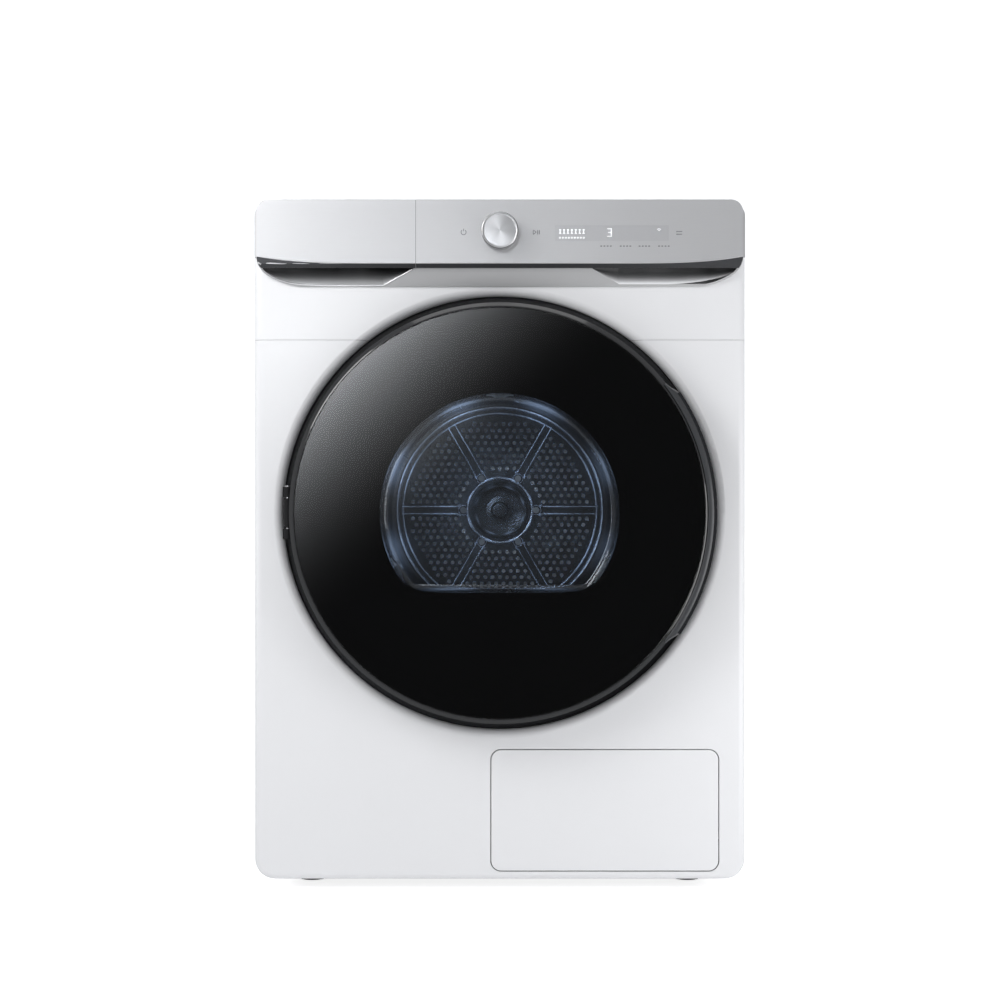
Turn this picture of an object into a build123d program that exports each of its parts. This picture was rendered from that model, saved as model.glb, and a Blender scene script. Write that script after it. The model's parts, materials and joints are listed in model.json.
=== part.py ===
"""Front-loading heat-pump clothes dryer, built as separate pieces.

Frame: +Z up, the front faces -Y, the origin is on the floor under the middle of the footprint.
All sizes are in millimetres.
"""
from build123d import *
import math
import os

# ---------------------------------------------------------------- overall sizes
cabinet_width = 686.0          # outside of the side panels
cabinet_height = 962.0         # floor to the top of the fascia, feet screwed in
front_face_y = -355.0          # painted front panel
rear_face_y = 400.0            # painted rear cover
body_bottom_z = 16.0           # lower edge of the cabinet
half_width = cabinet_width / 2
sheet = 1.5                    # sheet-metal wall
seam = 0.5                     # visible gap between neighbouring panels
slack = 0.3                    # gap between curved faces that move past each other
running = 0.05                 # radial clearance of a shaft in its bore

# front panels
panel_return = 25.0            # how far the front panels wrap round the sides
panel_edge_radius = 10.0
corner_radius = 28.0           # rounded lower corners, seen from the front
panel_split_z = cabinet_height - 192.3
upper_panel_top_z = cabinet_height - 77.0
side_top_z = cabinet_height - 23.0     # upper edge of the side panels
top_cover_z = cabinet_height - 2.0
roll_depth = 12.0              # rolled edge of the door opening
door_z = 528.5                 # axis of the door and of the drum
opening_radius = 303.0
recess_floor_y = -330.0

# control panel
fascia_y = -378.0
plate = 2.2
fascia_half_width = half_width - 6.4
fascia_radius = 17.0
lip_top_z = cabinet_height - 88.7
lip_bottom_z = lip_top_z - 5.3
trim_bottom_z = lip_bottom_z - 24.0
end_curve_run = 136.6          # far ends of the trim, where its lower edge turns up
end_curve_top_z = lip_top_z + 10.7
rim = 2.6                      # wall left round each grip hollow
drawer_seam_x = -116.6
diagonal_run = 46.0            # sideways run of the two slanted joints
right_diagonal_x = 128.5
knob_z = cabinet_height - 46.5
knob_radius = 25.3
knob_front_y = -406.0
window_x = 155.0
window_z = cabinet_height - 46.6
window_length = 157.4
window_height = 21.8
grip_floor_z = trim_bottom_z + 3.0
grip_roof_z = lip_bottom_z + 4.0
grip_back_z = trim_bottom_z + 3.5      # lower edge of the walls behind the hollows

# door
glass_radius = 281.0
glass_front_y = -413.5
glass_thickness = 4.2
bezel_radius = 288.0
ring_radius = 286.0
ring_wall = 12.0
grip_radius = 296.5
grip_half_angle = 34.0
inner_frame_y = -341.0
bowl_radius = 174.0
bowl_flat_drop = 118.0         # flat lower side of the bowl, below the door axis
bowl_depth = 72.0
bowl_wall = 4.0
hinge_x = -292.0
hinge_y = -386.0
hinge_pin_radius = 2.5
knuckle_radius = 5.5

# drum
drum_radius = 290.0
drum_front_y = -273.0
drum_back_y = 285.0
drum_sheet = 1.2
collar_radius = 232.0          # fixed collar the drum's neck turns on
neck_radius = 240.0
felt_front_y = -288.0
shaft_radius = 12.0
bearing_radius = 22.0
bolt_circle = 64.2
hole_pitch = 12.8
hole_radius = 3.1
perforation_radius = 166.0
spoke_half_width = 14.0
bulkhead_y = -322.0
rear_bulkhead_y = 300.0
bulkhead_sheet = 2.0
bulkhead_half_width = half_width - 13.0

# drive
belt_y = -60.0
belt_width = 12.0
belt_thickness = 2.0
motor_x = -70.0
motor_z = 125.0
motor_radius = 48.0
motor_shaft_radius = 6.0
pulley_radius = 14.0
idler_x = -150.0
idler_z = 160.0
idler_radius = 18.0
idler_pivot_x = -118.0
idler_pivot_z = 92.0
roller_radius = 30.0
roller_angle = 40.0
roller_y = -248.0
roller_axle_radius = 6.0
fan_radius = 80.0
fan_inlet_radius = 62.0

# base and heat pump
base_floor_z = body_bottom_z + sheet
base_floor = 4.0
base_half_width = half_width - 29.0
base_wall = 3.0
base_wall_top = 60.0
rear_cover_bottom_z = 46.5
duct_left_x = 62.0
duct_right_x = half_width - 37.0
duct_bottom_z = 50.0
duct_top_z = 197.0
duct_wall = 3.0
duct_front_y = -300.0
filter_half_width = 88.0
filter_front_y = -316.5
filter_back_y = -293.5
filter_top_z = 312.0

# service cover
cover_left_x = -13.2
cover_right_x = half_width - 36.6
cover_bottom_z = 27.6
cover_top_z = 198.8
cover_radius = 15.0
cover_gap = 1.2
cover_thickness = 2.5
cover_pivot_y = front_face_y + 2.0
cover_pivot_z = cover_bottom_z + 4.0
cover_barrel_radius = 1.7
cover_lug_places = (40.0, 250.0)

# water tank
tank_left_x = -half_width + 19.0
tank_right_x = -124.0
tank_bottom_z = cabinet_height - 97.0
tank_top_z = cabinet_height - 32.0
tank_front_y = -340.0
tank_back_y = 170.0
tank_wall = 2.5
tank_gap = 2.5

# feet
foot_x = half_width - 73.0
foot_front_y = -262.0
foot_rear_y = 345.0
foot_radius = 22.0
foot_pad = 9.0
stem_radius = 6.0
foot_boss_radius = 18.0
foot_boss_height = 28.0
stem_top_z = 47.0

# rear
hump_radius = 205.0
hump_depth = 13.5

drum_axis = Axis((0, 0, door_z), (0, 1, 0))
os.makedirs("parts", exist_ok=True)


# ---------------------------------------------------------------- shared helpers
def at_y(y):
    """Front-view sketch plane: local x is X, local y is Z, and it extrudes towards the viewer."""
    return Plane.XZ.offset(-y)


def block(x0, x1, y0, y1, z0, z1, mode=Mode.ADD):
    """A box between two corners, in the part being built."""
    with Locations(((x0 + x1) / 2, (y0 + y1) / 2, (z0 + z1) / 2)):
        Box(abs(x1 - x0), y1 - y0, z1 - z0, mode=mode)


def rod(x, z, radius, y0, y1, mode=Mode.ADD):
    """A cylinder along Y, in the part being built."""
    with BuildSketch(at_y(y1)) as section:
        with Locations((x, z)):
            Circle(radius)
    extrude(section.sketch, amount=y1 - y0, mode=mode)


def ring(x, z, outer, inner, y0, y1, mode=Mode.ADD):
    """A tube along Y, in the part being built."""
    with BuildSketch(at_y(y1)) as section:
        with Locations((x, z)):
            Circle(outer)
            Circle(inner, mode=Mode.SUBTRACT)
    extrude(section.sketch, amount=y1 - y0, mode=mode)


def turned(points, mode=Mode.ADD):
    """A solid turned about the drum axis from (y, radius) points, in the part being built."""
    with BuildSketch(Plane.YZ) as section:
        Polygon(*[(y, door_z + r) for y, r in points], align=None)
    revolve(section.sketch, axis=drum_axis, mode=mode)


def sector(inner, outer, half_angle, y0, y1, middle=0.0, mode=Mode.ADD):
    """A slice of a ring about the drum axis, half_angle each side of the middle angle."""
    reach = outer * 1.6
    spread = reach * math.tan(math.radians(half_angle))
    with BuildSketch(at_y(y1)) as section:
        with Locations(Pos(0, door_z) * Rot(0, 0, middle)):
            Circle(outer)
            Circle(inner, mode=Mode.SUBTRACT)
            Polygon((0, 0), (reach, -spread), (reach, spread), align=None, mode=Mode.INTERSECT)
    extrude(section.sketch, amount=y1 - y0, mode=mode)


def polar(radius, angle):
    """A point (x, z) at an angle round the drum axis."""
    turn = math.radians(angle)
    return (radius * math.cos(turn), door_z + radius * math.sin(turn))


# ---------------------------------------------------------------- cabinet: base and panels
base_front_y = bulkhead_y + 5
base_rear_y = rear_face_y - 3
base_floor_top = base_floor_z + base_floor
with BuildPart() as base_pan:
    block(-base_half_width, base_half_width, base_front_y, base_rear_y, base_floor_z, base_floor_top)
    for side in (-1, 1):
        block(
            side * base_half_width, side * (base_half_width - base_wall), base_front_y, base_rear_y,
            base_floor_z, base_wall_top,
        )
    block(
        -base_half_width, base_half_width, base_front_y, base_front_y + base_wall, base_floor_z, 34
    )
    block(
        -base_half_width, base_half_width, base_rear_y - base_wall, base_rear_y,
        base_floor_z, rear_cover_bottom_z - seam,
    )
    for x in (-foot_x, foot_x):
        for y in (foot_front_y, foot_rear_y):
            with Locations((x, y, base_floor_z + foot_boss_height / 2)):
                Cylinder(foot_boss_radius, foot_boss_height)
                Cylinder(stem_radius + running, foot_boss_height * 2, mode=Mode.SUBTRACT)
base_pan.part.label = "base_pan"
export_step(base_pan.part, "parts/base_pan.step")


def side_panel(side):
    """One side panel: upright sheet, rolled lower edge with a flange, folded upper edge."""
    x = side * half_width
    flange = side * (half_width - corner_radius - 12)
    with BuildPart() as panel:
        with BuildSketch(at_y(rear_face_y)):
            with BuildLine():
                Line((x, side_top_z), (x, body_bottom_z + corner_radius))
                RadiusArc(
                    (x, body_bottom_z + corner_radius),
                    (x - side * corner_radius, body_bottom_z),
                    side * corner_radius,
                )
                Line((x - side * corner_radius, body_bottom_z), (flange, body_bottom_z))
                Line((flange, body_bottom_z), (flange, body_bottom_z + sheet))
                Line(
                    (flange, body_bottom_z + sheet),
                    (x - side * corner_radius, body_bottom_z + sheet),
                )
                RadiusArc(
                    (x - side * corner_radius, body_bottom_z + sheet),
                    (x - side * sheet, body_bottom_z + corner_radius),
                    -side * (corner_radius - sheet),
                )
                Line(
                    (x - side * sheet, body_bottom_z + corner_radius),
                    (x - side * sheet, side_top_z - sheet),
                )
                Line((x - side * sheet, side_top_z - sheet), (x - side * 16, side_top_z - sheet))
                Line((x - side * 16, side_top_z - sheet), (x - side * 16, side_top_z))
                Line((x - side * 16, side_top_z), (x, side_top_z))
            make_face()
        extrude(amount=rear_face_y - front_face_y - panel_return - seam)
        with Locations(Plane.YZ.offset(x)):
            with Locations((330, 60), (270, 60)):
                Cylinder(2.2, 4 * sheet, mode=Mode.SUBTRACT)
    return panel.part


for side, side_name in ((-1, "left"), (1, "right")):
    side_part = side_panel(side)
    side_part.label = f"{side_name}_side_panel"
    export_step(side_part, f"parts/{side_name}_side_panel.step")

with BuildPart() as top_cover:
    with BuildSketch(Plane.XY.offset(side_top_z + slack)):
        with Locations((0, (rear_face_y + front_face_y + panel_return) / 2)):
            RectangleRounded(cabinet_width, rear_face_y - front_face_y - panel_return, 4)
    extrude(amount=top_cover_z - side_top_z - slack)
    fillet(top_cover.edges().group_by(Axis.Z)[-1], 5)
    block(
        -half_width + 2, half_width - 2, front_face_y + panel_return + 2, rear_face_y - 2,
        side_top_z - 9, top_cover_z - 2, mode=Mode.SUBTRACT,
    )
top_cover.part.label = "top_cover"
export_step(top_cover.part, "parts/top_cover.step")

with BuildPart() as rear_cover:
    block(
        -half_width + 2, half_width - 2, rear_face_y - sheet, rear_face_y,
        rear_cover_bottom_z, side_top_z - 2,
    )
    rod(0, door_z, hump_radius - 12, rear_face_y - 10, rear_face_y + 10, mode=Mode.SUBTRACT)
    with BuildSketch(at_y(rear_face_y + 5)):
        with Locations((180, 175)):
            with GridLocations(0, 14, 1, 8):
                SlotOverall(170, 6)
    extrude(amount=20, mode=Mode.SUBTRACT)
    rod(250, 820, 9, rear_face_y - 10, rear_face_y + 10, mode=Mode.SUBTRACT)
    rod(-290, 120, 10, rear_face_y - 10, rear_face_y + 10, mode=Mode.SUBTRACT)
rear_cover.part.label = "rear_cover"
export_step(rear_cover.part, "parts/rear_cover.step")

with BuildPart() as rear_service_cover:
    turned([
        (rear_face_y, hump_radius), (rear_face_y, hump_radius - 25),
        (rear_face_y + hump_depth - sheet, hump_radius - 34),
        (rear_face_y + hump_depth - sheet, 0), (rear_face_y + hump_depth, 0),
        (rear_face_y + hump_depth, hump_radius - 33),
        (rear_face_y + sheet, hump_radius - 23), (rear_face_y + sheet, hump_radius),
    ])
rear_service_cover.part.label = "rear_service_cover"
export_step(rear_service_cover.part, "parts/rear_service_cover.step")


# ---------------------------------------------------------------- cabinet: front panels
def front_outline(inset):
    """Outline of the front skin, drawn in the sketch being built."""
    low = body_bottom_z + inset
    high = upper_panel_top_z
    x = half_width - inset
    radius = corner_radius - inset
    with BuildLine() as outline:
        Line((-x, high), (-x, low + radius))
        RadiusArc((-x, low + radius), (-x + radius, low), -radius)
        Line((-x + radius, low), (x - radius, low))
        RadiusArc((x - radius, low), (x, low + radius), -radius)
        Line((x, low + radius), (x, high))
        Line((x, high), (-x, high))
    make_face(outline.edges())


with BuildPart() as front_block:
    with BuildSketch(at_y(front_face_y + panel_return)) as outer_outline:
        front_outline(0)
    extrude(outer_outline.sketch, amount=panel_return)
    front_edges = front_block.faces().sort_by(Axis.Y)[0].edges()
    fillet(front_edges.sort_by(Axis.Z)[:-1], panel_edge_radius)

with BuildPart() as front_hollow:
    with BuildSketch(at_y(front_face_y + panel_return + 1)) as inner_outline:
        front_outline(sheet)
    extrude(inner_outline.sketch, amount=panel_return + 1 - sheet)
    hollow_edges = front_hollow.faces().sort_by(Axis.Y)[0].edges()
    fillet(hollow_edges.sort_by(Axis.Z)[:-1], panel_edge_radius - sheet)

roll_outer = opening_radius + roll_depth
with BuildPart() as rolled_edge:
    with BuildSketch(Plane.YZ) as roll_section:
        with BuildLine():
            Line((front_face_y, door_z + roll_outer + 3), (front_face_y, door_z + roll_outer))
            RadiusArc(
                (front_face_y, door_z + roll_outer),
                (front_face_y + roll_depth, door_z + opening_radius),
                -roll_depth,
            )
            Line(
                (front_face_y + roll_depth, door_z + opening_radius),
                (front_face_y + roll_depth, door_z + opening_radius + sheet),
            )
            RadiusArc(
                (front_face_y + roll_depth, door_z + opening_radius + sheet),
                (front_face_y + sheet, door_z + roll_outer),
                roll_depth - sheet,
            )
            Line(
                (front_face_y + sheet, door_z + roll_outer),
                (front_face_y + sheet, door_z + roll_outer + 3),
            )
            Line(
                (front_face_y + sheet, door_z + roll_outer + 3),
                (front_face_y, door_z + roll_outer + 3),
            )
        make_face()
    revolve(roll_section.sketch, axis=drum_axis)

with BuildPart() as front_skin:
    add(front_block.part)
    add(front_hollow.part, mode=Mode.SUBTRACT)
    rod(0, door_z, roll_outer + 2, front_face_y - 5, front_face_y + 40, mode=Mode.SUBTRACT)
    add(rolled_edge.part)

with BuildPart() as front_panel_lower:
    add(front_skin.part)
    block(-400, 400, -400, -300, panel_split_z - seam / 2, 1000, mode=Mode.SUBTRACT)
    with BuildSketch(at_y(front_face_y + 20)) as cover_opening:
        with Locations(((cover_left_x + cover_right_x) / 2, (cover_bottom_z + cover_top_z) / 2)):
            RectangleRounded(
                cover_right_x - cover_left_x, cover_top_z - cover_bottom_z, cover_radius
            )
    extrude(cover_opening.sketch, amount=40, mode=Mode.SUBTRACT)
front_panel_lower.part.label = "front_panel_lower"
export_step(front_panel_lower.part, "parts/front_panel_lower.step")


def drawer_outline(inset):
    """Front-view outline of the tank drawer front, drawn in the sketch being built."""
    left = -fascia_half_width + inset
    right = drawer_seam_x - inset
    low = trim_bottom_z + inset
    top = cabinet_height - inset
    foot = drawer_seam_x - diagonal_run - inset * 0.4
    curve_x = -fascia_half_width + end_curve_run
    with BuildLine() as outline:
        Line((right, top), (left + fascia_radius, top))
        RadiusArc((left + fascia_radius, top), (left, top - fascia_radius), -fascia_radius)
        Line((left, top - fascia_radius), (left, end_curve_top_z))
        Spline(
            (left, end_curve_top_z), (-fascia_half_width + 22.6, trim_bottom_z + 10 + inset),
            (curve_x, low), tangents=((0, -1), (1, 0)),
        )
        Line((curve_x, low), (foot, low))
        Line((foot, low), (right, lip_bottom_z))
        Line((right, lip_bottom_z), (right, top))
    make_face(outline.edges())


def housing_outline(inset):
    """Front-view outline of the fascia side of the control panel, as drawer_outline."""
    right = fascia_half_width - inset
    left = drawer_seam_x + seam + inset
    curve_x = fascia_half_width - end_curve_run
    low = trim_bottom_z + inset
    top = cabinet_height - inset
    with BuildLine() as outline:
        Line((left, top), (right - fascia_radius, top))
        RadiusArc((right - fascia_radius, top), (right, top - fascia_radius), fascia_radius)
        Line((right, top - fascia_radius), (right, end_curve_top_z))
        Spline(
            (right, end_curve_top_z), (fascia_half_width - 22.6, trim_bottom_z + 10 + inset),
            (curve_x, low), tangents=((0, -1), (-1, 0)),
        )
        Line((curve_x, low), (left - diagonal_run, low))
        Line((left - diagonal_run, low), (left, lip_bottom_z))
        Line((left, lip_bottom_z), (left, top))
    make_face(outline.edges())


with BuildPart() as drawer_passage:
    with BuildSketch(at_y(-300)) as passage_front:
        drawer_outline(0.5)
    extrude(passage_front.sketch, amount=100)
    block(-400, tank_right_x + 4, -400, -300, grip_back_z - 1, cabinet_height, mode=Mode.INTERSECT)

with BuildPart() as grip_passage:
    with BuildSketch(at_y(-300)) as grip_passage_front:
        housing_outline(0.5)
    extrude(grip_passage_front.sketch, amount=100)
    block(
        right_diagonal_x - 4, 400, -400, -300, grip_back_z - 1, cabinet_height,
        mode=Mode.INTERSECT,
    )

with BuildPart() as front_panel_upper:
    add(front_skin.part)
    block(-400, 400, -400, -300, 0, panel_split_z + seam / 2, mode=Mode.SUBTRACT)
    add(drawer_passage.part, mode=Mode.SUBTRACT)
    add(grip_passage.part, mode=Mode.SUBTRACT)
front_panel_upper.part.label = "front_panel_upper"
export_step(front_panel_upper.part, "parts/front_panel_upper.step")

recess_front_y = front_face_y + roll_depth + 0.3
with BuildPart() as door_recess_ring:
    turned([
        (recess_front_y, opening_radius), (recess_front_y, opening_radius + 12),
        (recess_front_y + 3, opening_radius + 12), (recess_front_y + 3, opening_radius + 3),
        (recess_floor_y + 2.5, opening_radius + 3), (recess_floor_y + 2.5, collar_radius - 8),
        (recess_floor_y, collar_radius - 8), (recess_floor_y, opening_radius),
    ])
    for offset in (-29, 29):
        block(-300, -293, -340, -320, door_z + offset - 9, door_z + offset + 9, mode=Mode.SUBTRACT)
    block(252, 268, -340, -320, door_z - 12, door_z + 12, mode=Mode.SUBTRACT)
door_recess_ring.part.label = "door_recess_ring"
export_step(door_recess_ring.part, "parts/door_recess_ring.step")

with BuildPart() as service_cover:
    with BuildSketch(at_y(front_face_y + cover_thickness)):
        with Locations(((cover_left_x + cover_right_x) / 2, (cover_bottom_z + cover_top_z) / 2)):
            RectangleRounded(
                cover_right_x - cover_left_x - 2 * cover_gap,
                cover_top_z - cover_bottom_z - 2 * cover_gap,
                cover_radius - cover_gap,
            )
    extrude(amount=cover_thickness)
    fillet(service_cover.faces().sort_by(Axis.Y)[0].edges(), 1.1)
    for x in cover_lug_places:
        block(x - 8, x + 8, front_face_y + cover_thickness - 0.5, -346, 34, 44)
        with Locations((x, cover_pivot_y, cover_pivot_z)):
            Cylinder(cover_barrel_radius, 16, rotation=(0, 90, 0))
    block(136, 156, front_face_y + cover_thickness - 0.5, -342, 184, 188)
service_cover.part.label = "service_cover"
export_step(service_cover.part, "parts/service_cover.step")


# ---------------------------------------------------------------- control panel
def panel_section(front_y):
    """Side-view section of the panel: slanted trim band, lip, upright face."""
    Polygon(
        (front_face_y - 0.5, trim_bottom_z), (front_face_y - 3, trim_bottom_z),
        (-367, lip_bottom_z), (-372, lip_bottom_z), (front_y, lip_top_z),
        (front_y, cabinet_height), (front_face_y - 0.5, cabinet_height), align=None,
    )


def grip_section():
    """Side-view section of the hollow behind the lip, where the fingers go."""
    Polygon(
        (-390, grip_floor_z), (-359.5, grip_floor_z), (-347, grip_floor_z + 8),
        (-341.5, grip_floor_z + 19), (-343, grip_roof_z), (-366, grip_roof_z),
        (-371, lip_bottom_z - 0.2), (-390, lip_bottom_z - 0.2), align=None,
    )


with BuildPart() as left_grip:
    with BuildSketch(Plane.YZ.offset(-fascia_half_width)) as grip_side:
        grip_section()
    extrude(grip_side.sketch, amount=fascia_half_width + drawer_seam_x)
    with BuildSketch(at_y(-320)) as grip_front:
        drawer_outline(rim)
    extrude(grip_front.sketch, amount=80, mode=Mode.INTERSECT)

with BuildPart() as right_grip:
    with BuildSketch(Plane.YZ.offset(right_diagonal_x)) as mirror_side:
        grip_section()
    extrude(mirror_side.sketch, amount=fascia_half_width - right_diagonal_x)
    with BuildSketch(at_y(-320)) as mirror_front:
        housing_outline(rim)
    extrude(mirror_front.sketch, amount=80, mode=Mode.INTERSECT)
    with BuildSketch(at_y(-320)) as right_diagonal:
        Polygon(
            (right_diagonal_x, grip_roof_z), (right_diagonal_x, lip_bottom_z),
            (right_diagonal_x + 38, grip_floor_z), (fascia_half_width, grip_floor_z),
            (fascia_half_width, grip_roof_z), align=None,
        )
    extrude(right_diagonal.sketch, amount=80, mode=Mode.INTERSECT)

with BuildPart() as drawer_plug:
    with BuildSketch(at_y(tank_front_y)) as plug_front:
        drawer_outline(1.2)
    extrude(plug_front.sketch, amount=tank_front_y - front_face_y + 1)
    block(
        -fascia_half_width, tank_right_x, -400, -300, grip_back_z, tank_top_z - 4,
        mode=Mode.INTERSECT,
    )

with BuildPart() as grip_shell:
    with BuildSketch(at_y(-337)) as shell_front:
        housing_outline(1.2)
    extrude(shell_front.sketch, amount=-337 - front_face_y + 1)
    block(
        right_diagonal_x, fascia_half_width, -400, -300, grip_back_z, upper_panel_top_z + 5,
        mode=Mode.INTERSECT,
    )

with BuildPart() as tank_drawer_front:
    with BuildSketch(Plane.YZ.offset(-fascia_half_width)) as drawer_section:
        panel_section(fascia_y)
    extrude(drawer_section.sketch, amount=fascia_half_width + drawer_seam_x + 1)
    with BuildSketch(at_y(-320)) as drawer_front:
        drawer_outline(0)
    extrude(drawer_front.sketch, amount=80, mode=Mode.INTERSECT)
    add(drawer_plug.part)
    add(left_grip.part, mode=Mode.SUBTRACT)
    block(
        tank_left_x + 4, tank_right_x - 4, -374.5, tank_front_y - 3,
        lip_top_z + 3.7, tank_top_z - 5, mode=Mode.SUBTRACT,
    )
tank_drawer_front.part.label = "tank_drawer_front"
export_step(tank_drawer_front.part, "parts/tank_drawer_front.step")

with BuildPart() as control_housing:
    with BuildSketch(Plane.YZ.offset(-180)) as housing_section:
        panel_section(fascia_y + plate)
    extrude(housing_section.sketch, amount=180 + fascia_half_width)
    with BuildSketch(at_y(-320)) as housing_front:
        housing_outline(0)
    extrude(housing_front.sketch, amount=80, mode=Mode.INTERSECT)
    add(grip_shell.part)
    with BuildSketch(at_y(front_face_y + panel_return - seam)) as frame_outline:
        with Locations((0, (upper_panel_top_z + seam + cabinet_height - 2) / 2)):
            RectangleRounded(
                cabinet_width - 1, cabinet_height - 2 - upper_panel_top_z - seam, fascia_radius
            )
        with BuildLine():
            Polyline(
                (-half_width + 0.5, upper_panel_top_z + seam), (half_width - 0.5, upper_panel_top_z + seam),
                (half_width - 0.5, knob_z), (-half_width + 0.5, knob_z), close=True,
            )
        make_face()
    extrude(frame_outline.sketch, amount=panel_return - seam)
    block(
        -fascia_half_width + 0.5, tank_right_x + 4, -356, -300,
        grip_back_z - 1.5, tank_top_z + 6, mode=Mode.SUBTRACT,
    )
    block(
        -112, fascia_half_width - 6.6, -356.1, -333,
        upper_panel_top_z + 4, cabinet_height - 10, mode=Mode.SUBTRACT,
    )
    add(right_grip.part, mode=Mode.SUBTRACT)
    rod(0, knob_z, 8, -380, -350, mode=Mode.SUBTRACT)
    block(
        -100, fascia_half_width - 6.6, -372.5, -356,
        upper_panel_top_z + 4, cabinet_height - 10, mode=Mode.SUBTRACT,
    )
    with BuildSketch(at_y(-360)) as light_window:
        with Locations((window_x, window_z)):
            Rectangle(window_length - 6, window_height - 6)
    extrude(light_window.sketch, amount=20, mode=Mode.SUBTRACT)
control_housing.part.label = "control_housing"
export_step(control_housing.part, "parts/control_housing.step")

with BuildPart() as control_fascia:
    with BuildSketch(at_y(fascia_y + plate)):
        fascia_left = drawer_seam_x + seam
        with BuildLine():
            Line((fascia_left, cabinet_height), (fascia_half_width - fascia_radius, cabinet_height))
            RadiusArc(
                (fascia_half_width - fascia_radius, cabinet_height),
                (fascia_half_width, cabinet_height - fascia_radius),
                fascia_radius,
            )
            Line((fascia_half_width, cabinet_height - fascia_radius), (fascia_half_width, lip_top_z + 9.7))
            Spline(
                (fascia_half_width, lip_top_z + 9.7),
                (fascia_half_width - 56.6, lip_top_z + 2.4), (150, lip_top_z),
                tangents=((-1, -0.35), (-1, 0)),
            )
            Line((150, lip_top_z), (fascia_left, lip_top_z))
            Line((fascia_left, lip_top_z), (fascia_left, cabinet_height))
        make_face()
        with Locations((0, knob_z)):
            Circle(8, mode=Mode.SUBTRACT)
        with Locations((window_x, window_z)):
            Rectangle(window_length, window_height, mode=Mode.SUBTRACT)
    extrude(amount=plate)
control_fascia.part.label = "control_fascia"
export_step(control_fascia.part, "parts/control_fascia.step")

with BuildPart() as display_window:
    with BuildSketch(at_y(fascia_y + plate)):
        with Locations((window_x, window_z)):
            Rectangle(window_length - 0.2, window_height - 0.2)
    extrude(amount=plate - 0.05)
display_window.part.label = "display_window"
export_step(display_window.part, "parts/display_window.step")

encoder_radius = 3.0
with BuildPart() as control_board:
    block(-60, fascia_half_width - 16.6, -364, -362, knob_z - 22.5, knob_z + 32.5)
    block(-9, 9, -371, -364, knob_z - 9, knob_z + 9)
    rod(0, knob_z, encoder_radius, -392, -371)
    block(window_x - 70, window_x + 70, -371.5, -364, window_z - 7, window_z + 7)
    for x in (60, 120, 200, 300):
        rod(x, knob_z + 24.5, 2.5, -362, -333.2)
control_board.part.label = "control_board"
export_step(control_board.part, "parts/control_board.step")

with BuildPart() as knob:
    with BuildSketch(Plane.YZ) as knob_section:
        with BuildLine():
            Polyline(
                (fascia_y - 0.6, knob_z), (fascia_y - 0.6, knob_z + knob_radius - 1.5),
                (fascia_y - 4, knob_z + knob_radius - 0.6), (knob_front_y + 1, knob_z + knob_radius),
                (knob_front_y, knob_z + knob_radius - 1), (knob_front_y, knob_z), close=True,
            )
        make_face()
    revolve(knob_section.sketch, axis=Axis((0, 0, knob_z), (0, 1, 0)))
    rod(0, knob_z, encoder_radius + running, -393, fascia_y, mode=Mode.SUBTRACT)
knob.part.label = "knob"
export_step(knob.part, "parts/knob.step")

with BuildPart() as power_inlet_gland:
    ring(250, 820, 8.8, 5, rear_face_y - 20, rear_face_y + 12)
    ring(250, 820, 15, 5, rear_face_y, rear_face_y + 6)
power_inlet_gland.part.label = "power_inlet_gland"
export_step(power_inlet_gland.part, "parts/power_inlet_gland.step")

# ---------------------------------------------------------------- water tank
with BuildPart() as tank_housing:
    block(
        tank_left_x - tank_gap - 2.5, tank_right_x + tank_gap + 2.5, -329, tank_back_y + 25,
        tank_bottom_z - tank_gap - 2.5, tank_top_z + tank_gap + 2.5,
    )
    block(
        tank_left_x - tank_gap, tank_right_x + tank_gap, -340, tank_back_y + 22,
        tank_bottom_z - tank_gap, tank_top_z + tank_gap, mode=Mode.SUBTRACT,
    )
tank_housing.part.label = "tank_housing"
export_step(tank_housing.part, "parts/tank_housing.step")

with BuildPart() as water_tank:
    block(tank_left_x, tank_right_x, tank_front_y, tank_back_y, tank_bottom_z, tank_top_z)
    fillet(water_tank.edges().filter_by(Axis.Z), 12)
    block(
        tank_left_x + tank_wall, tank_right_x - tank_wall,
        tank_front_y + tank_wall, tank_back_y - tank_wall,
        tank_bottom_z + tank_wall, tank_top_z - tank_wall, mode=Mode.SUBTRACT,
    )
    tank_middle = (tank_left_x + tank_right_x) / 2
    block(
        tank_middle - 35, tank_middle + 35, 80, 150,
        tank_top_z - 10, tank_top_z + 20, mode=Mode.SUBTRACT,
    )
water_tank.part.label = "water_tank"
export_step(water_tank.part, "parts/water_tank.step")

# ---------------------------------------------------------------- bulkheads and ducts
with BuildPart() as front_bulkhead:
    block(
        -bulkhead_half_width, bulkhead_half_width, bulkhead_y, bulkhead_y + bulkhead_sheet,
        36, cabinet_height - 114,
    )
    rod(0, door_z, collar_radius, -340, -300, mode=Mode.SUBTRACT)
    ring(
        0, door_z, collar_radius + 2.5, collar_radius,
        bulkhead_y + bulkhead_sheet - 0.1, felt_front_y + 32,
    )
    block(
        -filter_half_width - 2, filter_half_width + 2, filter_front_y - 2, filter_back_y + 2,
        280, 330, mode=Mode.SUBTRACT,
    )
    block(cover_left_x + 8, duct_right_x + 6, -330, -310, 36, 191, mode=Mode.SUBTRACT)
front_bulkhead.part.label = "front_bulkhead"
export_step(front_bulkhead.part, "parts/front_bulkhead.step")

with BuildPart() as drum_felt_seal:
    ring(0, door_z, neck_radius - slack, collar_radius + 2.5, felt_front_y + 2, drum_front_y)
drum_felt_seal.part.label = "drum_felt_seal"
export_step(drum_felt_seal.part, "parts/drum_felt_seal.step")

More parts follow.
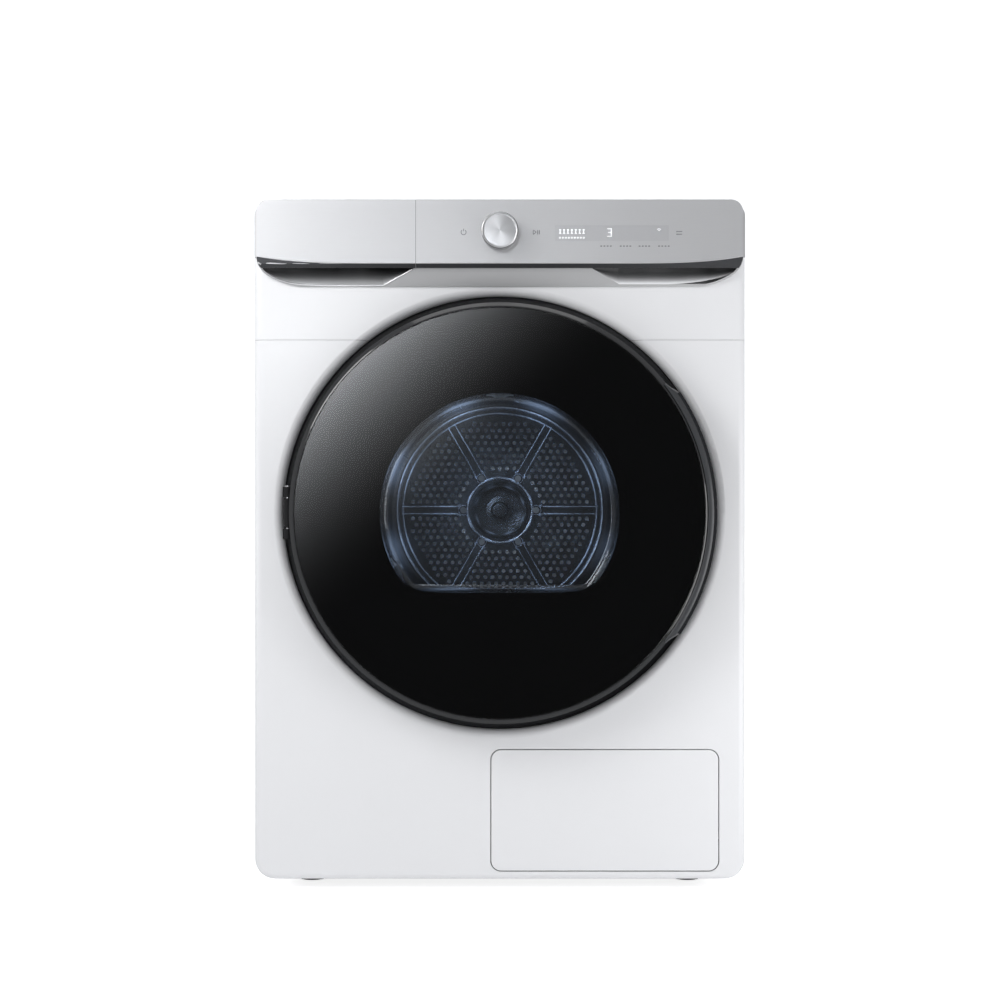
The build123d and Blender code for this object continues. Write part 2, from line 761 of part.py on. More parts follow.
with BuildPart() as rear_bulkhead:
    block(
        -bulkhead_half_width, bulkhead_half_width, rear_bulkhead_y,
        rear_bulkhead_y + bulkhead_sheet, base_wall_top + 1, side_top_z - 2,
    )
    block(
        -base_half_width + base_wall + 1, base_half_width - base_wall - 1, rear_bulkhead_y,
        rear_bulkhead_y + bulkhead_sheet, 24, base_wall_top + 2,
    )
    for turn in range(6):
        sector(
            82, 205, 24, rear_bulkhead_y - 5, rear_bulkhead_y + 5, middle=30 + 60 * turn,
            mode=Mode.SUBTRACT,
        )
    rod(motor_x, motor_z, fan_inlet_radius, rear_bulkhead_y - 5, rear_bulkhead_y + 5,
        mode=Mode.SUBTRACT)
    rod(-290, 58, 8, rear_bulkhead_y - 5, rear_bulkhead_y + 5, mode=Mode.SUBTRACT)
    rod(0, door_z, 34, rear_bulkhead_y, rear_bulkhead_y + 30)
    rod(0, door_z, bearing_radius, rear_bulkhead_y - 5, rear_bulkhead_y + 40, mode=Mode.SUBTRACT)
rear_bulkhead.part.label = "rear_bulkhead"
export_step(rear_bulkhead.part, "parts/rear_bulkhead.step")

with BuildPart() as drum_bearing:
    ring(0, door_z, bearing_radius, shaft_radius + running, rear_bulkhead_y + 4, rear_bulkhead_y + 24)
drum_bearing.part.label = "drum_bearing"
export_step(drum_bearing.part, "parts/drum_bearing.step")


def duct_outline(inset):
    """Outline of the rear air duct: round over the drum, round over the fan, joined by tangents."""
    with BuildLine() as rounds:
        add(Edge.make_circle(217 - inset, Plane((0, door_z, 0))))
        add(Edge.make_circle(95 - inset, Plane((motor_x, motor_z, 0))))
    make_hull(rounds.edges())


duct_front_face = rear_bulkhead_y + bulkhead_sheet
with BuildPart() as rear_duct:
    with BuildSketch(at_y(duct_front_face + 72)) as duct_outside:
        duct_outline(0)
    extrude(duct_outside.sketch, amount=72)
    with BuildSketch(at_y(duct_front_face + 69)) as duct_inside:
        duct_outline(3)
    extrude(duct_inside.sketch, amount=80, mode=Mode.SUBTRACT)
rear_duct.part.label = "rear_duct"
export_step(rear_duct.part, "parts/rear_duct.step")

with BuildPart() as heat_exchanger_duct:
    block(duct_left_x, duct_right_x, duct_front_y, 131, duct_bottom_z, duct_top_z)
    block(-150, duct_right_x, 130, rear_bulkhead_y, duct_bottom_z, duct_top_z)
    block(
        duct_left_x + duct_wall, duct_right_x - duct_wall, duct_front_y - 5, 140,
        duct_bottom_z + duct_wall, duct_top_z - duct_wall, mode=Mode.SUBTRACT,
    )
    block(
        -150 + duct_wall, duct_right_x - duct_wall, 130 + duct_wall, rear_bulkhead_y + 5,
        duct_bottom_z + duct_wall, duct_top_z - duct_wall, mode=Mode.SUBTRACT,
    )
    block(duct_left_x + 10, duct_right_x - 10, duct_front_y + 4, -266, 190, 200, mode=Mode.SUBTRACT)
    rod(motor_x, motor_z, motor_shaft_radius + 4, 120, 140, mode=Mode.SUBTRACT)
heat_exchanger_duct.part.label = "heat_exchanger_duct"
export_step(heat_exchanger_duct.part, "parts/heat_exchanger_duct.step")

with BuildPart() as filter_duct:
    block(-94, 94, -319.7, -289.5, 228, 294)
    block(-94, duct_right_x, -319.7, -262, duct_top_z + 1, 231)
    block(-91, 91, -317.5, -292, 225, 300, mode=Mode.SUBTRACT)
    block(-91, duct_right_x - 3, -316.7, -265, duct_top_z + 4, 228, mode=Mode.SUBTRACT)
    block(duct_left_x + 10, duct_right_x - 10, duct_front_y + 4, -266, 190, 205, mode=Mode.SUBTRACT)
filter_duct.part.label = "filter_duct"
export_step(filter_duct.part, "parts/filter_duct.step")

with BuildPart() as lint_filter:
    block(
        -filter_half_width, filter_half_width, filter_front_y, filter_back_y,
        duct_top_z + 6, filter_top_z,
    )
    block(
        -filter_half_width + 2.5, filter_half_width - 2.5, filter_front_y + 2.5, filter_back_y - 2.5,
        duct_top_z + 8.5, filter_top_z - 3, mode=Mode.SUBTRACT,
    )
    for x in (-60, -20, 20, 60):
        block(x - 16, x + 16, filter_front_y + 4, filter_back_y - 4, 300, 320, mode=Mode.SUBTRACT)
        block(x - 16, x + 16, -330, -280, 216, 288, mode=Mode.SUBTRACT)
lint_filter.part.label = "lint_filter"
export_step(lint_filter.part, "parts/lint_filter.step")

# ---------------------------------------------------------------- drum
with BuildPart() as drum_shell:
    turned([
        (felt_front_y, neck_radius), (felt_front_y, neck_radius + drum_sheet),
        (drum_front_y, neck_radius + drum_sheet), (drum_front_y + 8, drum_radius),
        (drum_back_y, drum_radius), (drum_back_y, drum_radius - drum_sheet),
        (drum_front_y + 9, drum_radius - drum_sheet),
        (drum_front_y + drum_sheet, neck_radius + drum_sheet), (drum_front_y + drum_sheet, neck_radius),
    ])
drum_shell.part.label = "drum_shell"
export_step(drum_shell.part, "parts/drum_shell.step")


def hole_places():
    """Centres of the punched holes of one sector, the one above the hub, relative to the hub."""
    places = []
    row_step = hole_pitch * math.sqrt(3) / 2
    for row in range(20):
        z = 74 + row * row_step
        for column in range(-12, 13):
            x = (column + 0.5 * (row % 2)) * hole_pitch
            radius = math.hypot(x, z)
            edge = abs(z * math.sin(math.radians(30)) - abs(x) * math.cos(math.radians(30)))
            if radius > perforation_radius - 5 or abs(x) > z * math.tan(math.radians(30)):
                continue
            if edge > spoke_half_width:
                places.append((x, z))
    return places


with BuildPart() as drum_back:
    rod(0, door_z, drum_radius - drum_sheet, drum_back_y - 1.5, drum_back_y)
    ring(0, door_z, 184, 178, drum_back_y - 5.5, drum_back_y - 1.4)
    for turn in range(6):
        angle = 60 * turn
        for edge in (-6.5, 6.5):
            with BuildSketch(at_y(drum_back_y - 1.4)) as ridge:
                with Locations(Pos(0, door_z) * Rot(0, 0, angle) * Pos(121, edge)):
                    SlotOverall(94, 4)
            extrude(ridge.sketch, amount=3)
    with BuildSketch(at_y(drum_back_y + 1)) as punched_holes:
        for turn in range(6):
            with Locations(Pos(0, door_z) * Rot(0, 0, 60 * turn)):
                with Locations(*hole_places()):
                    Circle(hole_radius)
        with Locations((0, door_z)):
            with PolarLocations(bolt_circle, 6):
                Circle(3.0)
    extrude(punched_holes.sketch, amount=10, mode=Mode.SUBTRACT)
    rod(0, door_z, 47.9, drum_back_y - 6, drum_back_y - 1.4)
    rod(0, door_z, 13.4, drum_back_y - 9, drum_back_y - 5)
drum_back.part.label = "drum_back"
export_step(drum_back.part, "parts/drum_back.step")

with BuildPart() as drum_shaft:
    rod(0, door_z, 75, drum_back_y, drum_back_y + 4)
    rod(0, door_z, shaft_radius + 8, drum_back_y + 4, rear_bulkhead_y - 1)
    rod(0, door_z, shaft_radius, drum_back_y + 4, rear_bulkhead_y + 36)
    rod(0, door_z, shaft_radius + 5, rear_bulkhead_y + 31, rear_bulkhead_y + 36)
    with BuildSketch(at_y(drum_back_y + 6)) as shaft_holes:
        with Locations((0, door_z)):
            with PolarLocations(bolt_circle, 6):
                Circle(3.0)
    extrude(shaft_holes.sketch, amount=8, mode=Mode.SUBTRACT)
drum_shaft.part.label = "drum_shaft"
export_step(drum_shaft.part, "parts/drum_shaft.step")

with BuildPart() as drum_bolts:
    for turn in range(6):
        bolt_x, bolt_z = polar(bolt_circle, 60 * turn)
        rod(bolt_x, bolt_z, 3.0, drum_back_y - 1.5, drum_back_y + 6)
        rod(bolt_x, bolt_z, 5.6, drum_back_y - 5.5, drum_back_y - 1.5)
drum_bolts.part.label = "drum_bolts"
export_step(drum_bolts.part, "parts/drum_bolts.step")

with BuildPart() as drum_lifters:
    for turn in range(3):
        with BuildSketch(at_y(210)) as lifter:
            with Locations(Pos(0, door_z) * Rot(0, 0, 90 + 120 * turn)):
                Polygon((283.5, -34), (226, -9), (226, 9), (283.5, 34), align=None)
        extrude(lifter.sketch, amount=420)
drum_lifters.part.label = "drum_lifters"
export_step(drum_lifters.part, "parts/drum_lifters.step")

# ---------------------------------------------------------------- drive
with BuildPart() as drum_belt:
    for thickness, mode in ((belt_thickness, Mode.ADD), (0, Mode.SUBTRACT)):
        with BuildSketch(at_y(belt_y + belt_width / 2)) as belt_loop:
            with BuildLine():
                for x, z, radius in (
                    (0, door_z, drum_radius), (motor_x, motor_z, pulley_radius),
                    (idler_x, idler_z, idler_radius),
                ):
                    add(Edge.make_circle(radius + slack + thickness, Plane((x, z, 0))))
            make_hull()
        extrude(belt_loop.sketch, amount=belt_width, mode=mode)
drum_belt.part.label = "drum_belt"
export_step(drum_belt.part, "parts/drum_belt.step")

idler_pin_radius = 4.0
pivot_pin_radius = 5.0
arm_y = belt_y + 14
pivot_post_y = arm_y + 22
with BuildPart() as motor_body:
    rod(motor_x, motor_z, motor_radius, -40, 100)
    fillet(motor_body.edges().filter_by(GeomType.CIRCLE), 6)
    block(motor_x - 36, motor_x + 36, -30, 90, base_floor_z + base_floor, motor_z - 30)
    rod(motor_x, motor_z, motor_shaft_radius + running, -50, 110, mode=Mode.SUBTRACT)
    rod(idler_pivot_x, idler_pivot_z, pivot_pin_radius, arm_y - 3, pivot_post_y + 4)
    rod(idler_pivot_x, idler_pivot_z, pivot_pin_radius + 3, arm_y - 6, arm_y - 3)
    block(
        idler_pivot_x - 14, idler_pivot_x - 4, pivot_post_y, pivot_post_y + 4,
        base_floor_z + base_floor, idler_pivot_z + 8,
    )
    block(
        idler_pivot_x - 14, motor_x - 34, pivot_post_y, pivot_post_y + 24,
        base_floor_z + base_floor, base_floor_z + base_floor + 4,
    )
motor_body.part.label = "motor_body"
export_step(motor_body.part, "parts/motor_body.step")

fan_front_y = duct_front_face + 8
with BuildPart() as motor_shaft:
    rod(motor_x, motor_z, motor_shaft_radius, -78, fan_front_y + 56)
    rod(motor_x, motor_z, pulley_radius, belt_y - 9, belt_y + 9)
motor_shaft.part.label = "motor_shaft"
export_step(motor_shaft.part, "parts/motor_shaft.step")

with BuildPart() as fan_impeller:
    rod(motor_x, motor_z, fan_radius, fan_front_y + 44, fan_front_y + 47)
    rod(motor_x, motor_z, 14, fan_front_y + 10, fan_front_y + 47)
    with BuildSketch(at_y(fan_front_y + 44.5)) as blades:
        with Locations((motor_x, motor_z)):
            with PolarLocations(60, 14):
                Rectangle(38, 2.5, rotation=25)
    extrude(blades.sketch, amount=42)
    ring(motor_x, motor_z, fan_radius, fan_radius - 14, fan_front_y, fan_front_y + 3)
    rod(motor_x, motor_z, motor_shaft_radius, fan_front_y - 5, fan_front_y + 60, mode=Mode.SUBTRACT)
fan_impeller.part.label = "fan_impeller"
export_step(fan_impeller.part, "parts/fan_impeller.step")

with BuildPart() as idler_arm:
    with BuildSketch(at_y(arm_y + 5)) as arm_outline:
        with BuildLine():
            add(Edge.make_circle(12, Plane((idler_pivot_x, idler_pivot_z, 0))))
            add(Edge.make_circle(8, Plane((idler_x, idler_z, 0))))
        make_hull()
    extrude(arm_outline.sketch, amount=5)
    rod(idler_x, idler_z, idler_pin_radius, belt_y - 12, arm_y)
    rod(
        idler_pivot_x, idler_pivot_z, pivot_pin_radius + running, arm_y - 5, arm_y + 10,
        mode=Mode.SUBTRACT,
    )
idler_arm.part.label = "idler_arm"
export_step(idler_arm.part, "parts/idler_arm.step")

with BuildPart() as idler_pulley:
    rod(idler_x, idler_z, idler_radius, belt_y - 8, belt_y + 8)
    rod(idler_x, idler_z, idler_pin_radius + running, belt_y - 20, belt_y + 20, mode=Mode.SUBTRACT)
idler_pulley.part.label = "idler_pulley"
export_step(idler_pulley.part, "parts/idler_pulley.step")

spring_wire = 0.9
spring_radius = pivot_pin_radius + spring_wire + 1.6
with BuildPart() as idler_spring:
    with BuildLine() as coil:
        Helix(
            pitch=3.0, height=12.0, radius=spring_radius,
            center=(idler_pivot_x, arm_y + 7, idler_pivot_z), direction=(0, 1, 0),
        )
    with BuildSketch(Plane(origin=coil.line @ 0, z_dir=coil.line % 0)):
        Circle(spring_wire)
    sweep(path=coil.line, is_frenet=True)
idler_spring.part.label = "idler_spring"
export_step(idler_spring.part, "parts/idler_spring.step")

roller_distance = drum_radius + roller_radius + slack
with BuildPart() as roller_axles:
    for side in (-1, 1):
        axle_x, axle_z = polar(roller_distance, -90 + side * roller_angle)
        rod(axle_x, axle_z, roller_axle_radius, bulkhead_y + bulkhead_sheet, roller_y + 24)
        rod(axle_x, axle_z, 12, bulkhead_y + bulkhead_sheet, roller_y - 18)
roller_axles.part.label = "roller_axles"
export_step(roller_axles.part, "parts/roller_axles.step")

for side, side_name in ((-1, "left"), (1, "right")):
    axle_x, axle_z = polar(roller_distance, -90 + side * roller_angle)
    with BuildPart() as support_roller:
        rod(axle_x, axle_z, roller_radius, roller_y - 12, roller_y + 12)
        rod(axle_x, axle_z, 14, roller_y - 16, roller_y + 16)
        rod(axle_x, axle_z, roller_axle_radius + running, roller_y - 30, roller_y + 30,
            mode=Mode.SUBTRACT)
    support_roller.part.label = f"support_roller_{side_name}"
    export_step(support_roller.part, f"parts/support_roller_{side_name}.step")

# ---------------------------------------------------------------- heat pump
with BuildPart() as compressor:
    with Locations((-228, -150, 36)):
        Cylinder(72, 150, align=(Align.CENTER, Align.CENTER, Align.MIN))
    fillet(compressor.edges().filter_by(GeomType.CIRCLE).sort_by(Axis.Z)[-1], 26)
    for x, y in ((-290, -212), (-166, -212), (-228, -72)):
        with Locations((x, y, base_floor_z + base_floor)):
            Cylinder(11, 15, align=(Align.CENTER, Align.CENTER, Align.MIN))
    block(-302, -154, -224, -60, 36, 39)
compressor.part.label = "compressor"
export_step(compressor.part, "parts/compressor.step")


def finned_coil(y0, y1):
    """A block of fins with round tubes through it, in the part being built."""
    fin_step = 8.0
    low = duct_bottom_z + duct_wall
    high = duct_top_z - duct_wall
    count = int((duct_right_x - duct_left_x - 2 * duct_wall - 20) / fin_step)
    left = duct_left_x + duct_wall + 10
    for index in range(count + 1):
        x = left + index * fin_step
        block(x - 0.6, x + 0.6, y0, y1, low, high)
    for z in (75, 120, 165):
        for y in (y0 + 20, (y0 + y1) / 2, y1 - 20):
            with Locations(Location((left + count * fin_step / 2, y, z), (0, 90, 0))):
                Cylinder(5, count * fin_step + 16)


with BuildPart() as heat_exchanger_coils:
    finned_coil(-250, -120)
    finned_coil(-90, 100)
heat_exchanger_coils.part.label = "heat_exchanger_coils"
export_step(heat_exchanger_coils.part, "parts/heat_exchanger_coils.step")

with BuildPart() as drain_pump:
    with Locations((-250, 200, base_floor_z + base_floor)):
        Cylinder(34, 70, align=(Align.CENTER, Align.CENTER, Align.MIN))
    block(-296, -284, 200, 214, 52, 64)
    rod(-290, 58, 6, 205, 384)
    rod(-290, 120, 6, 378, rear_face_y + 5)
    with Locations((-290, 384, 89)):
        Cylinder(8, 84)
    rod(-290, 120, 9, rear_face_y + 1, rear_face_y + 13)
    block(-290, -250, 200, 214, 52, 64)
drain_pump.part.label = "drain_pump"
export_step(drain_pump.part, "parts/drain_pump.step")

lock_plate_y = duct_front_y - 6
lock_z = 118.0
with BuildPart() as heat_exchanger_door:
    block(duct_left_x - 8, duct_right_x - 2, lock_plate_y, duct_front_y - 0.2, 46, 188)
    block(duct_left_x + 34, duct_right_x - 40, lock_plate_y - 4, lock_plate_y + 1, 70, 165)
    for x in (duct_left_x + 14, duct_right_x - 20):
        rod(x, lock_z, 4, lock_plate_y - 10, lock_plate_y + 1)
heat_exchanger_door.part.label = "heat_exchanger_door"
export_step(heat_exchanger_door.part, "parts/heat_exchanger_door.step")

for lock_name, lock_x in (("left", duct_left_x + 14), ("right", duct_right_x - 20)):
    with BuildPart() as turn_lock:
        rod(lock_x, lock_z, 13, lock_plate_y - 9, lock_plate_y - 0.5)
        block(lock_x - 5, lock_x + 5, lock_plate_y - 9, lock_plate_y - 4.5, lock_z - 22, lock_z + 22)
        rod(lock_x, lock_z, 4 + running, lock_plate_y - 20, lock_plate_y + 1, mode=Mode.SUBTRACT)
    turn_lock.part.label = f"turn_lock_{lock_name}"
    export_step(turn_lock.part, f"parts/turn_lock_{lock_name}.step")

# ---------------------------------------------------------------- door
grip_pocket_half_angle = 30.0
with BuildPart() as door_ring:
    turned([
        (glass_front_y + 1, glass_radius + 0.3), (-412, 283), (-407.5, bezel_radius),
        (-399, bezel_radius), (-397, ring_radius), (-345, ring_radius - 2), (-339, ring_radius - 9),
        (-339, 268), (-345, ring_radius - ring_wall), (-405.3, ring_radius - ring_wall),
        (-405.3, 262), (glass_front_y + glass_thickness, 262),
        (glass_front_y + glass_thickness, glass_radius + 0.3),
    ])
    sector(glass_radius + 2, grip_radius, grip_half_angle, -411, -399)
    sector(250, ring_radius - 2, grip_half_angle, -400, -345)
    sector(266, grip_radius + 10, grip_pocket_half_angle, -396, -361, mode=Mode.SUBTRACT)
    block(-300, -281.5, -396, -352, door_z - 23, door_z + 23, mode=Mode.SUBTRACT)
    block(-281.6, -272, -398, -350, door_z - 30, door_z + 30)
door_ring.part.label = "door_ring"
export_step(door_ring.part, "parts/door_ring.step")

with BuildPart() as door_glass:
    rod(0, door_z, glass_radius, glass_front_y, glass_front_y + glass_thickness)
    fillet(door_glass.edges().filter_by(GeomType.CIRCLE).sort_by(Axis.Y)[0], 1.2)
door_glass.part.label = "door_glass"
export_step(door_glass.part, "parts/door_glass.step")


def bowl_outline(inset):
    """Round outline with a flat lower side, drawn in the sketch being built."""
    radius = bowl_radius - inset
    drop = bowl_flat_drop - inset
    with Locations((0, door_z)):
        Circle(radius)
        with Locations((0, -drop)):
            Rectangle(4 * radius, 2 * radius, align=(Align.CENTER, Align.MAX), mode=Mode.SUBTRACT)


bowl_front_y = inner_frame_y - 4
bowl_back_y = bowl_front_y + bowl_depth
bowl_edge_radius = 14.0
with BuildPart() as door_inner_frame:
    rod(0, door_z, 267.7, inner_frame_y, inner_frame_y + 4)
    with BuildSketch(at_y(-330)) as bowl_hole:
        bowl_outline(-0.6)
        fillet(bowl_hole.vertices(), 24)
    extrude(bowl_hole.sketch, amount=20, mode=Mode.SUBTRACT)
    block(256, 264, inner_frame_y + 3.9, inner_frame_y + 16, door_z - 8, door_z + 8)
    block(253.5, 257, inner_frame_y + 12, inner_frame_y + 16, door_z - 8, door_z + 8)
door_inner_frame.part.label = "door_inner_frame"
export_step(door_inner_frame.part, "parts/door_inner_frame.step")

with BuildPart() as bowl_cavity:
    with BuildSketch(at_y(bowl_back_y - bowl_wall)) as bowl_inside:
        bowl_outline(bowl_wall)
        fillet(bowl_inside.vertices(), 20)
    extrude(bowl_inside.sketch, amount=bowl_depth)
    fillet(bowl_cavity.faces().sort_by(Axis.Y)[-1].edges(), bowl_edge_radius - bowl_wall)

with BuildPart() as door_bowl:
    with BuildSketch(at_y(bowl_back_y)) as bowl_outside:
        bowl_outline(0)
        fillet(bowl_outside.vertices(), 24)
    extrude(bowl_outside.sketch, amount=bowl_depth)
    fillet(door_bowl.faces().sort_by(Axis.Y)[-1].edges(), bowl_edge_radius)
    with BuildSketch(at_y(inner_frame_y)) as bowl_flange:
        bowl_outline(-14)
        fillet(bowl_flange.vertices(), 30)
    extrude(bowl_flange.sketch, amount=4)
    add(bowl_cavity.part, mode=Mode.SUBTRACT)
door_bowl.part.label = "door_bowl"
export_step(door_bowl.part, "parts/door_bowl.step")

gasket_back_y = recess_floor_y - 0.4
with BuildPart() as door_gasket:
    turned([
        (inner_frame_y + 4, 234), (gasket_back_y - 1.5, 234), (gasket_back_y, 236),
        (gasket_back_y, 240), (gasket_back_y - 1.5, 242), (inner_frame_y + 4, 244),
    ])
door_gasket.part.label = "door_gasket"
export_step(door_gasket.part, "parts/door_gasket.step")


def knuckle(z0, z1, bore):
    """A hinge barrel about the hinge axis, in the part being built."""
    with Locations((hinge_x, hinge_y, (z0 + z1) / 2)):
        Cylinder(knuckle_radius, z1 - z0)
        Cylinder(bore, z1 - z0, mode=Mode.SUBTRACT)


leaf_half_height = 20.0
arm_height = 14.0
with BuildPart() as door_hinge_bracket:
    block(-312, -240, recess_floor_y + 2.7, recess_floor_y + 6, door_z - 45, door_z + 45)
    for side in (-1, 1):
        low = door_z + side * (leaf_half_height + 2 + arm_height / 2) - arm_height / 2
        block(-299, -294, hinge_y, recess_floor_y + 3, low, low + arm_height)
        knuckle(low, low + arm_height, hinge_pin_radius)
        with Locations((hinge_x, hinge_y, low + arm_height / 2)):
            Cylinder(hinge_pin_radius, arm_height, mode=Mode.SUBTRACT)
door_hinge_bracket.part.label = "door_hinge_bracket"
export_step(door_hinge_bracket.part, "parts/door_hinge_bracket.step")

with BuildPart() as door_hinge_leaf:
    block(-284.3, -281.8, -394, -354, door_z - leaf_half_height, door_z + leaf_half_height)
    block(-290, -284, hinge_y - 4, hinge_y + 4, door_z - leaf_half_height, door_z + leaf_half_height)
    with Locations((hinge_x, hinge_y, door_z)):
        Cylinder(knuckle_radius, 2 * leaf_half_height)
        Cylinder(hinge_pin_radius + running, 2 * leaf_half_height, mode=Mode.SUBTRACT)
door_hinge_leaf.part.label = "door_hinge_leaf"
export_step(door_hinge_leaf.part, "parts/door_hinge_leaf.step")

pin_half_length = leaf_half_height + 2 + arm_height
with BuildPart() as door_hinge_pin:
    with Locations((hinge_x, hinge_y, door_z)):
        Cylinder(hinge_pin_radius, 2 * pin_half_length)
    with Locations((hinge_x, hinge_y, door_z + pin_half_length + 1)):
        Cylinder(hinge_pin_radius + 1.5, 2)
door_hinge_pin.part.label = "door_hinge_pin"
export_step(door_hinge_pin.part, "parts/door_hinge_pin.step")

# ---------------------------------------------------------------- feet
for foot_side, side_name in ((-1, "left"), (1, "right")):
    for foot_y, end_name in ((foot_front_y, "front"), (foot_rear_y, "rear")):
        with BuildPart() as foot:
            with Locations((foot_side * foot_x, foot_y, 0)):
                Cylinder(foot_radius, foot_pad, align=(Align.CENTER, Align.CENTER, Align.MIN))
                Cylinder(stem_radius, stem_top_z, align=(Align.CENTER, Align.CENTER, Align.MIN))
            fillet(foot.edges().filter_by(GeomType.CIRCLE).sort_by(Axis.Z)[0], 1.5)
        foot.part.label = f"foot_{end_name}_{side_name}"
        export_step(foot.part, f"parts/foot_{end_name}_{side_name}.step")
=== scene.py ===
"""Looks of the front-loading heat-pump dryer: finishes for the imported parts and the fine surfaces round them.

Everything is in metres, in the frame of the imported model: +Z up, the front faces -Y.
"""
from __future__ import annotations

import json
import logging
import math
from dataclasses import dataclass, field
from enum import Enum
from typing import Callable, Sequence

import bmesh
import bpy
import numpy as np
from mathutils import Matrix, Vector

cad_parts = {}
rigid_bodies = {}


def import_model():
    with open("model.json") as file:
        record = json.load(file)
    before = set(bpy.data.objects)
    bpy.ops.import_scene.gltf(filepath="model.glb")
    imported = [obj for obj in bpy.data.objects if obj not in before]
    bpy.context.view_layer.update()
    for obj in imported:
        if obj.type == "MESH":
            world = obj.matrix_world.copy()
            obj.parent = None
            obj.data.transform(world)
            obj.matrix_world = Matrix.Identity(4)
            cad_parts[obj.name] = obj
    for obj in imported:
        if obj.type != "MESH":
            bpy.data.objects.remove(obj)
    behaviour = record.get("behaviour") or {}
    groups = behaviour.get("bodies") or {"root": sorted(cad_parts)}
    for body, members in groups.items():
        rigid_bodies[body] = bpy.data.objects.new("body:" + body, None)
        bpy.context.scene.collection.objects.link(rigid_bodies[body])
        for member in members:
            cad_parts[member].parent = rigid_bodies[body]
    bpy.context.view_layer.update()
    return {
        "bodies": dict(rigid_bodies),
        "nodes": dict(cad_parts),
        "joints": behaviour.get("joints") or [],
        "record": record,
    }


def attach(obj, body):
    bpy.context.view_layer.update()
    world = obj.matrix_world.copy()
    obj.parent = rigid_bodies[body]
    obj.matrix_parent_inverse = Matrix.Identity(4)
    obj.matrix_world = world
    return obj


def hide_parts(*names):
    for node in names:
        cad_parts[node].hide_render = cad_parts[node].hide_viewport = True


LOG = logging.getLogger("dryer")
MM = 0.001
HIGHLIGHT_WEDGE_ANGLE = math.radians(112.0)
CAP_RADIUS = 24.5 * MM
HOLLOW_HEIGHT = 24.0 * MM
KNOB_CENTRE = (0.0, 0.0, 0.9155)
TRIM_FOOT = (0.0, 0.0, 0.8455)
DRUM_CENTRE = (0.0, 0.0, 0.5285)
Colour = tuple[float, float, float]


# ---------------------------------------------------------------- shader helpers
class Texture(Enum):
    """How a surface is worked, which settles its bump and the unevenness of its tone; the conic and hollow textures
    also paint highlight and shade into the tone.
    """

    SMOOTH = "smooth"
    MOULDED = "moulded"
    ORANGE_PEEL = "orange_peel"
    BRUSHED = "brushed"
    SPUN = "spun"
    CONIC = "conic"
    HOLLOW = "hollow"
    ROLLED = "rolled"
    CAST = "cast"
    SPANGLE = "spangle"
    FIBRE = "fibre"


class Graph:
    """A short way to add and join shader nodes in one node tree."""

    def __init__(self, tree: bpy.types.NodeTree) -> None:
        """Keeps the tree that the nodes go into."""
        self.tree = tree

    def add(self, kind: str, **settings: object) -> bpy.types.Node:
        """Adds a node.

        Args:
            kind: Blender's name of the node type.
            **settings: properties of the node, set by name.
        Returns:
            The new node.
        """
        node = self.tree.nodes.new(kind)
        for name, value in settings.items():
            setattr(node, name, value)
        return node

    def feed(self, socket: bpy.types.NodeSocket, value: object) -> None:
        """Joins a socket to another socket, or sets it to a plain value."""
        if isinstance(value, bpy.types.NodeSocket):
            self.tree.links.new(value, socket)
        else:
            socket.default_value = value

    def maths(self, operation: str, *values: object, clamp: bool = False) -> bpy.types.NodeSocket:
        """Result of one Math node.

        Args:
            operation: the Math node's operation.
            *values: sockets or numbers, in the node's order.
            clamp: keep the result between 0 and 1.
        Returns:
            The value socket.
        """
        node = self.add("ShaderNodeMath", operation=operation, use_clamp=clamp)
        for socket, value in zip(node.inputs, values):
            self.feed(socket, value)
        return node.outputs[0]

    def scaled(
        self, vector: object, scale: Sequence[float], offset: Sequence[float] = (0, 0, 0)
    ) -> bpy.types.NodeSocket:
        """A vector moved by offset and then stretched by scale, axis by axis.

        Args:
            vector: the vector socket.
            scale: factor on each axis.
            offset: added before the stretch.
        Returns:
            The stretched vector's socket.
        """
        moved = self.add("ShaderNodeVectorMath", operation="ADD")
        self.feed(moved.inputs[0], vector)
        moved.inputs[1].default_value = offset
        stretched = self.add("ShaderNodeVectorMath", operation="MULTIPLY")
        self.feed(stretched.inputs[0], moved.outputs[0])
        self.feed(stretched.inputs[1], scale)
        return stretched.outputs[0]

    def split(self, vector: object) -> Sequence[bpy.types.NodeSocket]:
        """The X, Y and Z sockets of a vector."""
        node = self.add("ShaderNodeSeparateXYZ")
        self.feed(node.inputs[0], vector)
        return node.outputs

    def square_from_axis(self, vector: object) -> bpy.types.NodeSocket:
        """Square of the distance from the Y axis: x squared plus z squared."""
        x, _, z = self.split(vector)
        return self.maths("ADD", self.maths("POWER", x, 2.0), self.maths("POWER", z, 2.0))

    def eye_strength(self, lighting: float, extra: float) -> bpy.types.NodeSocket:
        """Strength of a stage surface: one value for what it lights, and more for what looks straight at it."""
        seen = self.add("ShaderNodeLightPath").outputs["Is Camera Ray"]
        return self.maths("ADD", lighting, self.maths("MULTIPLY", seen, extra))

    def noise(self, vector: object, scale: object, detail: float = 3.0, rough: float = 0.55) -> object:
        """Value of a noise texture at a vector, from 0 to 1."""
        node = self.add("ShaderNodeTexNoise")
        self.feed(node.inputs["Vector"], vector)
        self.feed(node.inputs["Scale"], scale)
        node.inputs["Detail"].default_value = detail
        node.inputs["Roughness"].default_value = rough
        return node.outputs["Fac"]

    def cells(self, vector: object, scale: object, feature: str = "F1") -> bpy.types.Node:
        """A Voronoi node over a vector."""
        node = self.add("ShaderNodeTexVoronoi", feature=feature)
        self.feed(node.inputs["Vector"], vector)
        self.feed(node.inputs["Scale"], scale)
        return node


